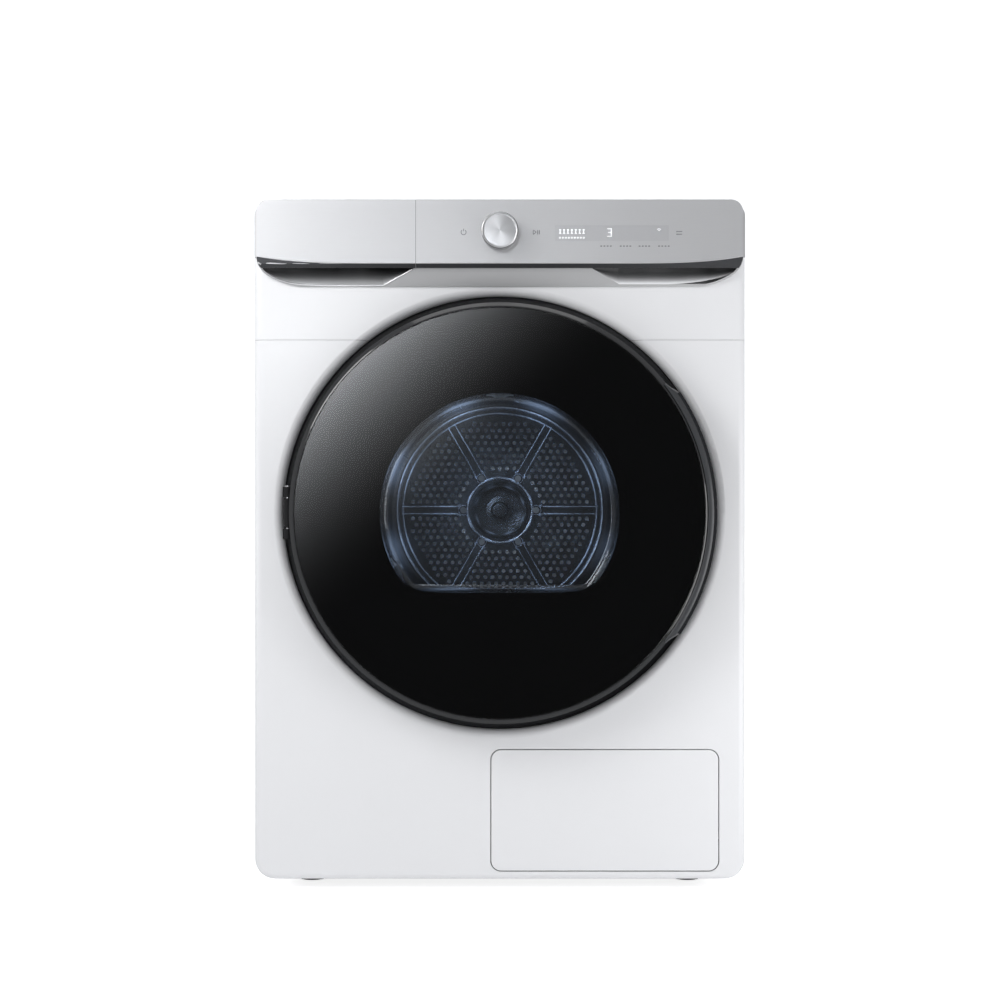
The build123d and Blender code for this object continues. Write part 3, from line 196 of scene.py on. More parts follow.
class TextureGroups:
    """Shared node groups, one for each way of working a surface, each built once.

    Every group takes a Vector and a Scale and gives a Height for the bump and a Mask for the tone.
    """

    def __init__(self) -> None:
        """Starts with no group built."""
        self._built: dict[Texture, bpy.types.NodeTree] = {}
        self._makers: dict[Texture, Callable[[Graph, object, object], tuple[object, object]]] = {
            Texture.SMOOTH: self._smooth,
            Texture.MOULDED: self._moulded,
            Texture.ORANGE_PEEL: self._orange_peel,
            Texture.BRUSHED: self._brushed,
            Texture.SPUN: self._spun,
            Texture.CONIC: self._conic,
            Texture.HOLLOW: self._hollow,
            Texture.ROLLED: self._rolled,
            Texture.CAST: self._cast,
            Texture.SPANGLE: self._spangle,
            Texture.FIBRE: self._fibre,
        }

    def get(self, texture: Texture) -> bpy.types.NodeTree:
        """The group of one texture, built at its first use.

        Args:
            texture: the way the surface is worked.
        Returns:
            The node group.
        """
        if texture not in self._built:
            tree = bpy.data.node_groups.new("texture_" + texture.value, "ShaderNodeTree")
            for label, way, kind in (
                ("Vector", "INPUT", "NodeSocketVector"), ("Scale", "INPUT", "NodeSocketFloat"),
                ("Height", "OUTPUT", "NodeSocketFloat"), ("Mask", "OUTPUT", "NodeSocketFloat"),
            ):
                tree.interface.new_socket(label, in_out=way, socket_type=kind)
            graph = Graph(tree)
            inside = graph.add("NodeGroupInput")
            outside = graph.add("NodeGroupOutput")
            height, mask = self._makers[texture](graph, inside.outputs["Vector"], inside.outputs["Scale"])
            graph.feed(outside.inputs["Height"], height)
            graph.feed(outside.inputs["Mask"], mask)
            self._built[texture] = tree
        return self._built[texture]

    @staticmethod
    def _smooth(graph: Graph, vector: object, scale: object) -> tuple[object, object]:
        """Barely uneven: one soft noise for both."""
        cloud = graph.noise(vector, scale, 2.0)
        return cloud, cloud

    @staticmethod
    def _moulded(graph: Graph, vector: object, scale: object) -> tuple[object, object]:
        """Spark-eroded mould grain: small cells broken up by noise."""
        pebble = graph.cells(vector, scale).outputs["Distance"]
        speck = graph.noise(vector, scale, 4.0)
        return graph.maths("ADD", graph.maths("MULTIPLY", pebble, 0.6), speck), speck

    @staticmethod
    def _orange_peel(graph: Graph, vector: object, scale: object) -> tuple[object, object]:
        """Baked paint: wide low ripples."""
        ripple = graph.noise(vector, scale, 1.0)
        return ripple, graph.noise(vector, 9.0, 2.0)

    @staticmethod
    def _brushed(graph: Graph, vector: object, scale: object) -> tuple[object, object]:
        """Fine lines along X: noise squeezed across the line and stretched along it."""
        stretched = graph.scaled(vector, (0.012, 1.0, 1.0))
        line = graph.noise(stretched, scale, 6.0, 0.75)
        return line, line

    @staticmethod
    def _spun(graph: Graph, vector: object, scale: object) -> tuple[object, object]:
        """Lathe rings about the Y axis: noise of the distance from that axis."""
        rings = graph.add("ShaderNodeTexNoise", noise_dimensions="1D")
        graph.feed(rings.inputs["W"], graph.maths("SQRT", graph.square_from_axis(vector)))
        graph.feed(rings.inputs["Scale"], scale)
        rings.inputs["Detail"].default_value = 3.0
        return rings.outputs["Fac"], rings.outputs["Fac"]

    @staticmethod
    def _conic(graph: Graph, vector: object, scale: object) -> tuple[object, object]:
        """Lathe-turned cap: rings for the bump, and a painted highlight in the tone: pairs of bright and dark wedges
        round the axis.

        The wedges are the cosine of twice the angle, with a weaker fourth harmonic; the side wall is darker, a painted
        shade.
        """
        rings, _ = TextureGroups._spun(graph, vector, scale)
        x, _, z = graph.split(vector)
        angle = graph.maths("SUBTRACT", graph.maths("ARCTAN2", z, x), HIGHLIGHT_WEDGE_ANGLE)
        wide, narrow = (graph.maths("COSINE", graph.maths("MULTIPLY", angle, order)) for order in (2.0, 4.0))
        # painted highlight: bright and dark wedges in the cap's tone
        wedges = graph.maths("ADD", graph.maths("MULTIPLY", wide, 0.38), graph.maths("MULTIPLY", narrow, 0.16))
        # painted shade: the side wall is made darker
        wall = graph.maths("GREATER_THAN", graph.square_from_axis(vector), CAP_RADIUS ** 2)
        cap = graph.maths("ADD", graph.maths("ADD", wedges, 0.4), graph.maths("MULTIPLY", rings, 0.2))
        return rings, graph.maths("SUBTRACT", cap, wall)

    @staticmethod
    def _hollow(graph: Graph, vector: object, scale: object) -> tuple[object, object]:
        """Moulded grain, with painted shade that darkens with the height above the centre, up to the hollow's full
        height.
        """
        grain = graph.noise(vector, scale, 3.0)
        # painted shade: darker towards the top of the hollow
        share = graph.maths("DIVIDE", graph.split(vector)[2], HOLLOW_HEIGHT, clamp=True)
        return grain, graph.maths("POWER", graph.maths("SUBTRACT", 1.0, share), 1.6)

    @staticmethod
    def _rolled(graph: Graph, vector: object, scale: object) -> tuple[object, object]:
        """Cold-rolled sheet: faint lines one way and broad clouds."""
        line = graph.noise(graph.scaled(vector, (1.0, 1.0, 0.03)), scale, 4.0, 0.6)
        return line, graph.noise(vector, 14.0, 4.0)

    @staticmethod
    def _cast(graph: Graph, vector: object, scale: object) -> tuple[object, object]:
        """Cast metal: coarse lumps with pits."""
        lump = graph.noise(vector, scale, 6.0, 0.7)
        return lump, graph.noise(vector, 30.0, 5.0)

    @staticmethod
    def _spangle(graph: Graph, vector: object, scale: object) -> tuple[object, object]:
        """Zinc crystals: each cell has its own tone, and the cell borders are faint."""
        crystal = graph.cells(vector, scale)
        tone = graph.add("ShaderNodeSeparateColor")
        graph.feed(tone.inputs[0], crystal.outputs["Color"])
        fine = graph.noise(vector, 900.0, 2.0)
        mixed = graph.maths("ADD", graph.maths("MULTIPLY", tone.outputs[0], 0.8), graph.maths("MULTIPLY", fine, 0.2))
        return fine, mixed

    @staticmethod
    def _fibre(graph: Graph, vector: object, scale: object) -> tuple[object, object]:
        """Pressed wool: tangled short hairs."""
        bent = graph.add("ShaderNodeVectorMath", operation="ADD")
        graph.feed(bent.inputs[0], vector)
        graph.feed(bent.inputs[1], graph.scaled(graph.noise(vector, 400.0), (0.004, 0.004, 0.004)))
        hair = graph.noise(graph.scaled(bent.outputs[0], (1.0, 0.12, 1.0)), scale, 6.0, 0.8)
        return hair, hair


@dataclass(frozen=True)
class Finish:
    """One finish: its colour, gloss and the way that the surface is worked."""

    slot: str
    colour: Colour
    roughness: float
    metallic: float = 0.0
    texture: Texture = Texture.MOULDED
    scale: float = 700.0
    depth: float = 0.00001
    tone_spread: float = 0.06
    gloss_spread: float = 0.10
    coat: float = 0.0
    coat_roughness: float = 0.06
    specular: float = 0.5
    transmission: float = 0.0
    ior: float = 1.45
    centre: Colour = (0.0, 0.0, 0.0)
    dust: float = 0.0
    glow: float = 0.0
    variant: str = ""

    @property
    def name(self) -> str:
        """Name of the material."""
        return self.slot + ("_" + self.variant if self.variant else "")

    def build(self, groups: TextureGroups) -> bpy.types.Material:
        """Makes the material.

        The tone is the colour times 1 plus or minus the spread, following the texture's mask; broad clouds
        change the gloss, and dust settles on what faces up.

        Args:
            groups: the shared texture groups.
        Returns:
            The material.
        """
        material = bpy.data.materials.new(self.name)
        material.use_nodes = True
        graph = Graph(material.node_tree)
        shader = material.node_tree.nodes["Principled BSDF"]
        place = graph.add("ShaderNodeTexCoord").outputs["Object"]
        centred = graph.scaled(place, (1, 1, 1), tuple(-c for c in self.centre))
        worked = graph.add("ShaderNodeGroup", node_tree=groups.get(self.texture))
        graph.feed(worked.inputs["Vector"], centred)
        worked.inputs["Scale"].default_value = self.scale
        cloud = graph.noise(place, 7.0, 3.0)
        uneven = graph.maths("ADD", worked.outputs["Mask"], graph.maths("MULTIPLY", cloud, 0.5))
        tone = graph.maths(
            "ADD", 1.0 - 0.75 * self.tone_spread, graph.maths("MULTIPLY", uneven, self.tone_spread)
        )
        shade = graph.add("ShaderNodeVectorMath", operation="SCALE")
        shade.inputs[0].default_value = self.colour
        graph.feed(shade.inputs["Scale"], tone)
        colour: object = shade.outputs[0]
        if self.dust > 0:
            colour = self._dusted(graph, colour, place)
        graph.feed(shader.inputs["Base Color"], colour)
        swing = 0.5 * self.gloss_spread * self.roughness
        wear = graph.maths("MULTIPLY", graph.maths("ADD", cloud, worked.outputs["Mask"]), swing)
        rough = graph.maths("ADD", self.roughness - swing, wear, clamp=True)
        graph.feed(shader.inputs["Roughness"], rough)
        if self.depth > 0:
            bump = graph.add("ShaderNodeBump")
            bump.inputs["Strength"].default_value = 1.0
            bump.inputs["Distance"].default_value = self.depth
            graph.feed(bump.inputs["Height"], worked.outputs["Height"])
            graph.feed(shader.inputs["Normal"], bump.outputs["Normal"])
        for socket, value in (
            ("Metallic", self.metallic), ("IOR", self.ior), ("Specular IOR Level", self.specular),
            ("Transmission Weight", self.transmission), ("Coat Weight", self.coat),
            ("Coat Roughness", self.coat_roughness),
        ):
            shader.inputs[socket].default_value = value
        if self.glow > 0:
            graph.feed(shader.inputs["Emission Color"], shade.outputs[0])
            shader.inputs["Emission Strength"].default_value = self.glow
        return material

    def _dusted(self, graph: Graph, colour: object, place: object) -> object:
        """Lint and dust on upward faces: a grey veil where the normal points up, broken up by noise."""
        normal = graph.add("ShaderNodeNewGeometry").outputs["Normal"]
        upward = graph.maths("MULTIPLY", graph.split(normal)[2], graph.noise(place, 60.0, 5.0, 0.7), clamp=True)
        mix = graph.add("ShaderNodeMix", data_type="RGBA")
        graph.feed(mix.inputs["Factor"], graph.maths("MULTIPLY", upward, self.dust, clamp=True))
        graph.feed(mix.inputs["A"], colour)
        mix.inputs["B"].default_value = (0.42, 0.41, 0.39, 1.0)
        return mix.outputs["Result"]


FINISHES: tuple[Finish, ...] = (
    Finish("body_white", (0.86, 0.865, 0.88), 0.36, texture=Texture.ORANGE_PEEL, scale=420.0, depth=0.000008,
           tone_spread=0.012, gloss_spread=0.08, coat=0.25, coat_roughness=0.12),
    Finish("brushed_silver", (0.69, 0.69, 0.70), 0.40, 0.85, Texture.BRUSHED, 2600.0, 0.000006,
           tone_spread=0.10, gloss_spread=0.25),
    Finish("silver_plastic", (0.62, 0.622, 0.63), 0.38, 0.5, Texture.MOULDED, 2400.0, 0.000004, tone_spread=0.05),
    # The knob's tone carries painted highlight wedges and a painted shade on its side wall.
    Finish("spun_metal", (0.72, 0.72, 0.73), 0.28, 1.0, Texture.CONIC, 2600.0, 0.000010,
           tone_spread=0.50, centre=KNOB_CENTRE),
    Finish("smoked_window", (0.65, 0.65, 0.662), 0.38, 0.85, Texture.SMOOTH, 40.0, 0.0, coat=0.1),
    Finish("dark_plastic", (0.022, 0.023, 0.026), 0.42, scale=1500.0, depth=0.000012, dust=0.15),
    Finish("door_gloss", (0.012, 0.0125, 0.014), 0.16, texture=Texture.SMOOTH, scale=60.0, depth=0.000002,
           coat=0.8, coat_roughness=0.05, gloss_spread=0.3),
    Finish("door_glass", (0.93, 0.95, 0.97), 0.0, texture=Texture.SMOOTH, scale=30.0, depth=0.0,
           tone_spread=0.01, transmission=1.0, ior=1.46),
    Finish("bowl_glass", (0.90, 0.94, 0.97), 0.0, texture=Texture.SMOOTH, scale=30.0, depth=0.0,
           tone_spread=0.01, transmission=1.0, ior=1.47),
    Finish("seal_rubber", (0.03, 0.03, 0.032), 0.62, scale=1200.0, depth=0.00002),
    Finish("belt_rubber", (0.018, 0.018, 0.018), 0.58, texture=Texture.FIBRE, scale=900.0, depth=0.00002),
    Finish("foot_rubber", (0.035, 0.035, 0.037), 0.66, scale=900.0, depth=0.00003, dust=0.3),
    # The steel's own grey, darkened and tinted blue: painted shade inside the drum behind the window.
    Finish("drum_steel", (0.085, 0.098, 0.122), 0.20, 1.0, Texture.ROLLED, 900.0, 0.000001,
           tone_spread=0.05, gloss_spread=0.15),
    Finish("bearing_steel", (0.55, 0.55, 0.56), 0.22, 1.0, Texture.SPUN, 1500.0, 0.000006, centre=DRUM_CENTRE),
    Finish("bolt_steel", (0.26, 0.28, 0.32), 0.28, 1.0, Texture.CAST, 1500.0, 0.000005),
    Finish("galvanised", (0.52, 0.54, 0.56), 0.42, 0.9, Texture.SPANGLE, 90.0, 0.000004,
           tone_spread=0.22, gloss_spread=0.35, dust=0.1),
    Finish("base_grey", (0.13, 0.135, 0.14), 0.5, scale=900.0, depth=0.00002, dust=0.45),
    Finish("inner_plastic", (0.40, 0.41, 0.42), 0.45, scale=1000.0, depth=0.000015, dust=0.15),
    Finish("tank_plastic", (0.62, 0.66, 0.70), 0.3, texture=Texture.SMOOTH, scale=50.0, depth=0.000004, coat=0.2),
    Finish("filter_plastic", (0.30, 0.44, 0.52), 0.42, scale=1200.0, depth=0.000012, dust=0.2),
    Finish("lifter_plastic", (0.42, 0.44, 0.47), 0.42, scale=1300.0, depth=0.000012),
    Finish("circuit_green", (0.03, 0.13, 0.06), 0.35, texture=Texture.CAST, scale=700.0, depth=0.00002, coat=0.4),
    Finish("felt", (0.34, 0.32, 0.29), 0.95, texture=Texture.FIBRE, scale=1400.0, depth=0.0002, tone_spread=0.25),
    Finish("motor_metal", (0.40, 0.41, 0.42), 0.38, 0.9, Texture.ROLLED, 900.0, 0.00001, tone_spread=0.14, dust=0.2),
    Finish("compressor_paint", (0.016, 0.016, 0.018), 0.34, texture=Texture.CAST, scale=500.0, depth=0.00003,
           coat=0.5, dust=0.25),
    Finish("coil_aluminium", (0.66, 0.67, 0.69), 0.32, 1.0, Texture.ROLLED, 800.0, 0.000008, dust=0.15),
    Finish("lock_plastic", (0.05, 0.16, 0.32), 0.4, scale=1200.0, depth=0.000012),
    Finish("hinge_black", (0.012, 0.012, 0.013), 0.55, texture=Texture.CAST, scale=900.0, depth=0.00001,
           specular=0.2),
)

# The finger hollows: painted shade darkens them towards the top, under the lip; the left copy's darker colour is
# painted shade too.
SHADED_SCOOP_LEFT = Finish("silver_plastic", (0.42, 0.424, 0.435), 0.46, 0.2, Texture.HOLLOW, 2400.0, 0.000004,
                    tone_spread=1.75, centre=TRIM_FOOT, variant="scoop_left")
SHADED_SCOOP_RIGHT = Finish("silver_plastic", (0.60, 0.604, 0.615), 0.44, 0.3, Texture.HOLLOW, 2400.0, 0.000004,
                     tone_spread=1.7, centre=TRIM_FOOT, variant="scoop_right")
# Dark plastic: a painted shade for the lip bands under the fascia's edge, and the dark joint strip between drawer and
# fascia.
LIP_SHADE_AND_JOINT = Finish("dark_plastic", (0.055, 0.056, 0.060), 0.34, 0.2, Texture.MOULDED, 2400.0, 0.000004, variant="lip")
# A brighter copy of the brushed metal: painted highlight on the edge beads.
EDGE_HIGHLIGHT = Finish("brushed_silver", (0.93, 0.93, 0.94), 0.30, 1.0, Texture.BRUSHED, 2600.0, 0.000002, variant="edge")
# A much brighter, bluer copy of the drum steel on the pressed ridges, rims and beads: painted highlight.
PRESSED_HIGHLIGHT = Finish("drum_steel", (0.62, 0.70, 0.84), 0.22, 1.0, Texture.ROLLED, 900.0, 0.000002, tone_spread=0.05,
                 variant="pressed")
GRIP = Finish("door_gloss", (0.048, 0.050, 0.054), 0.34, 0.35, Texture.MOULDED, 2600.0, 0.000003,
              coat=0.2, variant="grip")
PRINT_BLACK = Finish("door_glass", (0.0014, 0.0014, 0.0016), 0.6, texture=Texture.SMOOTH, scale=40.0, depth=0.0,
                     specular=0.0, variant="print")
PRINT_GREY = Finish("brushed_silver", (0.20, 0.20, 0.21), 0.5, texture=Texture.SMOOTH, scale=90.0, depth=0.0,
                    variant="print")
PRINT_FAINT = Finish("brushed_silver", (0.30, 0.30, 0.31), 0.5, texture=Texture.SMOOTH, scale=90.0, depth=0.0,
                     variant="faint")
DISPLAY_LIT = Finish("smoked_window", (0.92, 0.94, 0.96), 0.4, texture=Texture.SMOOTH, scale=90.0, depth=0.0,
                     glow=0.55, variant="lit")


def finish_of(slot: str) -> Finish:
    """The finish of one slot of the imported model."""
    return next(finish for finish in FINISHES if finish.slot == slot)


# ---------------------------------------------------------------- surface helpers
def grid_faces(rows: int, columns: int, wrap_rows: bool = False, wrap_columns: bool = False) -> np.ndarray:
    """Quads of a grid whose points are numbered row by row.

    Args:
        rows: number of rows of points.
        columns: number of points in a row.
        wrap_rows: also join the last row to the first.
        wrap_columns: also join the last column to the first.
    Returns:
        An array of quads, four point numbers each.
    """
    down = np.arange(rows if wrap_rows else rows - 1)
    across = np.arange(columns if wrap_columns else columns - 1)
    r, c = np.meshgrid(down, across, indexing="ij")
    r2, c2 = (r + 1) % rows, (c + 1) % columns
    quads = np.stack([r * columns + c, r * columns + c2, r2 * columns + c2, r2 * columns + c], axis=-1)
    return quads.reshape(-1, 4)


def repeated(points: np.ndarray, quads: np.ndarray, places: np.ndarray) -> tuple[np.ndarray, np.ndarray]:
    """One small shape copied to many places.

    Args:
        points: the shape's points, n by 3.
        quads: the shape's faces.
        places: m by 3 offsets, or m by n by 3 ready points.
    Returns:
        All the points and all the faces, each copy's face numbers raised by the points before it.
    """
    copies = places if places.ndim == 3 else points[None, :, :] + places[:, None, :]
    count, size = copies.shape[0], copies.shape[1]
    faces = quads[None, :, :] + (np.arange(count) * size)[:, None, None]
    return copies.reshape(-1, 3), faces.reshape(-1, quads.shape[1])


def full_turn(count: int) -> np.ndarray:
    """Evenly spaced angles round a whole circle, the first of them 0 and the end left out."""
    return np.linspace(0.0, 2 * math.pi, count + 1)[:-1]


def turned_points(profile: np.ndarray, angles: np.ndarray, centre: Sequence[float]) -> np.ndarray:
    """A profile of (y, radius) rows turned about an axis along Y: x = radius cos angle, z = radius sin angle.

    Args:
        profile: n by 2 array of y and radius.
        angles: m angles in radians, from +X towards +Z.
        centre: a point on the axis, of which x and z are used.
    Returns:
        n times m points, row by row.
    """
    y, radius = profile[:, :1], profile[:, 1:]
    x = centre[0] + radius * np.cos(angles)[None, :]
    z = centre[2] + radius * np.sin(angles)[None, :]
    return np.stack([x, np.broadcast_to(y, x.shape), z], axis=-1).reshape(-1, 3)


def swept_points(path: np.ndarray, section: np.ndarray, out: Sequence[float], closed: bool = False) -> np.ndarray:
    """A section carried along a path without twisting.

    At each path point, the section's first number goes sideways, across the path and out, and its second
    goes along out.

    Args:
        path: n by 3 points.
        section: m by 2 numbers.
        out: the direction that the section's second number takes.
        closed: the path is a loop, whose end runs on into its start.
    Returns:
        n times m points, row by row.
    """
    along = np.roll(path, -1, axis=0) - np.roll(path, 1, axis=0) if closed else np.gradient(path, axis=0)
    along /= np.linalg.norm(along, axis=1, keepdims=True)
    outward = np.asarray(out, float)
    side = np.cross(along, outward)
    side /= np.linalg.norm(side, axis=1, keepdims=True)
    sideways = side[:, None, :] * section[None, :, :1]
    return (path[:, None, :] + sideways + outward[None, None, :] * section[None, :, 1:]).reshape(-1, 3)


def half_round(width: float, height: float, count: int = 9) -> np.ndarray:
    """Section of a bead: half an ellipse, width across and height out, open at its foot."""
    angle = np.linspace(0.0, math.pi, count)
    return np.stack([np.cos(angle) * width / 2, np.sin(angle) * height], axis=-1)


class Workshop:
    """Makes each piece's object, gives it its finish, and ties it to its body."""

    def __init__(self, frame: dict) -> None:
        """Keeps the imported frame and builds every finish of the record."""
        self.frame = frame
        self.groups = TextureGroups()
        self.materials = {finish.name: finish.build(self.groups) for finish in FINISHES}
        self.count = 0

    def material(self, finish: Finish) -> bpy.types.Material:
        """The material of a finish, made at its first use."""
        if finish.name not in self.materials:
            self.materials[finish.name] = finish.build(self.groups)
        return self.materials[finish.name]

    def dress(self) -> None:
        """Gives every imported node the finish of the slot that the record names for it."""
        for name, node in sorted(self.frame["nodes"].items()):
            slot = node.material_slots[0].material.name.split(".")[0]
            node.material_slots[0].material = self.materials[slot]
            LOG.info("dressed %s in %s", name, slot)

    def piece(
        self,
        name: str,
        points: np.ndarray,
        faces: np.ndarray,
        finish: Finish,
        body: str,
        facing: Sequence[float] | None = None,
        thickness: float = 0.0,
        sharp: float = 40.0,
        replaces: Sequence[str] = (),
    ) -> bpy.types.Object:
        """Makes one piece of the visual model.

        Args:
            name: the piece's name.
            points: n by 3 points, in metres in the frame.
            faces: quads or triangles.
            finish: its finish.
            body: the body that it rides on.
            facing: for an open sheet, the side that it shows; None for a closed shell.
            thickness: wall that a Solidify modifier gives an open sheet, away from the side shown.
            sharp: angle between faces, in degrees, past which an edge stays sharp.
            replaces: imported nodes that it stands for.
        Returns:
            The object.
        """
        mesh = bpy.data.meshes.new(name)
        mesh.from_pydata(points.tolist(), [], faces.tolist())
        work = bmesh.new()
        work.from_mesh(mesh)
        bmesh.ops.remove_doubles(work, verts=work.verts, dist=1e-7)
        bmesh.ops.dissolve_degenerate(work, edges=work.edges, dist=1e-7)
        bmesh.ops.recalc_face_normals(work, faces=work.faces)
        if facing is not None:
            total = sum((f.normal * f.calc_area() for f in work.faces), Vector())
            if total.dot(Vector(facing)) < 0:
                bmesh.ops.reverse_faces(work, faces=work.faces)
        work.to_mesh(mesh)
        work.free()
        mesh.polygons.foreach_set("use_smooth", [True] * len(mesh.polygons))
        mesh.set_sharp_from_angle(angle=math.radians(sharp))
        piece = bpy.data.objects.new(name, mesh)
        bpy.context.scene.collection.objects.link(piece)
        mesh.materials.append(self.material(finish))
        if thickness > 0:
            wall = piece.modifiers.new("wall", "SOLIDIFY")
            wall.thickness = thickness
            wall.offset = -1.0
        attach(piece, body)
        if replaces:
            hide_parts(*replaces)
        self.count += 1
        LOG.info("made %s, %d faces, on %s", name, len(mesh.polygons), body)
        return piece

    def bead(self, name: str, path: np.ndarray, width: float, height: float, finish: Finish, body: str,
             out: Sequence[float] = (0, -1, 0), closed: bool = False, rounding: int = 9) -> bpy.types.Object:
        """A half-round bead along a path, standing out from the surface under it.

        Args:
            name: the piece's name.
            path: n by 3 points on the surface.
            width: width across the path.
            height: how far it stands out.
            finish: its finish.
            body: the body that it rides on.
            out: the way that it stands out.
            closed: join the end to the start.
            rounding: number of points across the bead.
        Returns:
            The object.
        """
        points = swept_points(path, half_round(width, height, rounding), out, closed)
        faces = grid_faces(len(path), rounding, wrap_rows=closed, wrap_columns=True)
        if not closed:
            ends = [np.arange(rounding), (len(path) - 1) * rounding + np.arange(rounding)]
            caps = [[int(e[0]), int(e[i]), int(e[i + 1])] for e in ends for i in range(1, rounding - 1)]
            faces = np.array(faces.tolist() + caps, dtype=object)
        return self.piece(name, points, faces, finish, body)

    def turned(self, name: str, profile: np.ndarray, count: int, centre: Sequence[float], finish: Finish,
               body: str, **settings: object) -> bpy.types.Object:
        """A piece turned about an axis along Y.

        Args:
            name: the piece's name.
            profile: n by 2 array of y and radius.
            count: number of steps round the axis.
            centre: a point on the axis.
            finish: its finish.
            body: the body that it rides on.
            **settings: what else piece takes.
        Returns:
            The object.
        """
        points = turned_points(profile, full_turn(count), centre)
        return self.piece(name, points, grid_faces(len(profile), count, wrap_columns=True), finish, body, **settings)


# ---------------------------------------------------------------- control panel
@dataclass
class ControlPanel:
    """Brushed fascia with its lip, grip hollows, knob, printed marks and display."""

    shop: Workshop
    face_y: float = -378.0 * MM
    half_width: float = 336.6 * MM
    lip_top: float = 873.3 * MM
    lip_bottom: float = 868.0 * MM
    trim_bottom: float = 844.0 * MM
    top: float = 962.0 * MM
    seam_x: float = -116.6 * MM
    seam_width: float = 0.7 * MM
    trim_foot_y: float = -358.0 * MM
    trim_slope: float = 9.0 * MM
    lift_start: float = 150.0 * MM
    lift: float = 9.7 * MM
    lip_root_y: float = -372.2 * MM
    lip_stand: float = 6.0 * MM
    lip_bevel: float = 1.4 * MM
    hollow_depth: float = 14.4 * MM
    hollow_top: float = 871.8 * MM
    roof_front_y: float = -366.4 * MM
    curve_start: float = 200.0 * MM
    curve_rise: float = 40.0 * MM
    diagonal_run: float = 46.0 * MM
    rim: float = 2.6 * MM
    knob_centre: tuple[float, float] = (0.0, 915.5 * MM)
    knob_radius: float = 25.3 * MM
    knob_front: float = -406.0 * MM

    def trim_y(self, z: np.ndarray) -> np.ndarray:
        """Front face of the slanted trim: a straight slope from its foot to the lip."""
        share = (z - self.trim_bottom) / (self.lip_bottom - self.trim_bottom)
        return self.trim_foot_y - self.trim_slope * share

    def lower_edge(self, x: np.ndarray) -> np.ndarray:
        """Lower edge of the drawer front in front view.

        Flat in the middle, a superellipse that turns up at the far end, and a straight slant at the seam.
        """
        t = np.clip((-x - self.curve_start) / (self.half_width - self.curve_start), 0.0, 1.0)
        end = self.trim_bottom + self.curve_rise * (1.0 - np.sqrt(np.clip(1.0 - t ** 4.57, 0.0, 1.0)))
        slope = (self.lip_bottom - self.trim_bottom) / self.diagonal_run
        slant = self.trim_bottom + np.clip(x - (self.seam_x - self.diagonal_run), 0.0, None) * slope
        return np.maximum(end, slant)

    def fascia_edge(self, x: np.ndarray) -> np.ndarray:
        """Lower edge of the brushed face: level in the middle, and lifting towards either far end."""
        t = np.clip((np.abs(x) - self.lift_start) / (self.half_width - self.lift_start), 0.0, 1.0)
        return self.lip_top + self.lift * t ** 3.6

    def right_edge(self, x: np.ndarray) -> np.ndarray:
        """Lower rim of the right hollow: a straight slant down, then a superellipse that turns up at the end."""
        t = np.clip((x / MM - 230.0) / 103.0, 0.0, 1.0)
        turn_up = 847.0 + 25.0 * (1.0 - np.sqrt(np.clip(1.0 - t ** 1.77, 0.0, 1.0)))
        slant = 868.0 - np.clip(x / MM - 128.5, 0.0, 38.0) * 21.0 / 38.0
        return np.maximum(turn_up, slant) * MM

    def scoop(self, name: str, body: str, x: np.ndarray, low: np.ndarray, soft: float, hook: float,
              finish: Finish) -> None:
        """A finger hollow: each upright section is a quarter sine from the rim back and up behind the lip.

        A level roof then leads forward to the back of the lip.

        Args:
            name: the piece's name.
            body: the body that it rides on.
            x: places of the sections.
            low: height of the hollow's lower rim at each section.
            soft: share of the height over which the hollow reaches its full depth.
            hook: power of the sine; a large one leaves the lower part shallow.
            finish: its finish.
        """
        rows, roof_rows = 26, 4
        top = self.hollow_top
        height = np.clip(self.lip_bottom - low, 0.0, None)
        full = height.max()
        depth = self.hollow_depth * np.clip(height / (soft * full), 0.0, 1.0) ** 0.6
        v = np.linspace(0.0, 1.0, rows)[:, None]
        z = low[None, :] + v * (top - low)[None, :]
        rise = np.clip((z - low) / np.maximum(self.lip_bottom - low, 1e-6), 0.0, 1.0)
        y = self.trim_y(low)[None, :] - 0.15 * MM + depth[None, :] * np.sin(rise * math.pi / 2) ** hook
        roof = np.linspace(0.0, 1.0, roof_rows + 1)[1:, None]
        y = np.concatenate([y, y[-1:] + (self.roof_front_y - y[-1:]) * roof])
        z = np.concatenate([z, np.broadcast_to(z[-1:], (roof_rows, len(x)))])
        points = np.stack([np.broadcast_to(x, z.shape), y, z], axis=-1).reshape(-1, 3)
        self.shop.piece(name, points, grid_faces(rows + roof_rows, len(x)), finish, body,
                        facing=(0, -1, 0), thickness=0.25 * MM)

    def lip(self, name: str, body: str, x: np.ndarray) -> None:
        """The dark band under the brushed face, a painted shade: down the face's edge, then back along the lip's bevel.
        """
        high = self.fascia_edge(x)
        corner = np.where(np.abs(x) > self.curve_start, self.lower_edge(-np.abs(x)) + 0.2 * MM, 0.0)
        low = np.maximum(self.lip_bottom, corner)
        share = np.array([0.0, 0.2, 0.4, 0.6, 0.8, 1.0, 1.0])[:, None]
        z = high[None, :] + (low - high)[None, :] * share
        bevel = np.clip((z - self.lip_bottom) / (self.lip_top - self.lip_bottom), 0.0, 1.0)
        y = self.lip_root_y - self.lip_stand * bevel
        y[-1] += self.lip_bevel
        points = np.stack([np.broadcast_to(x, z.shape), y, z], axis=-1).reshape(-1, 3)
        self.shop.piece(name, points, grid_faces(len(share), len(x)), LIP_SHADE_AND_JOINT, body, facing=(0, -1, -0.5))

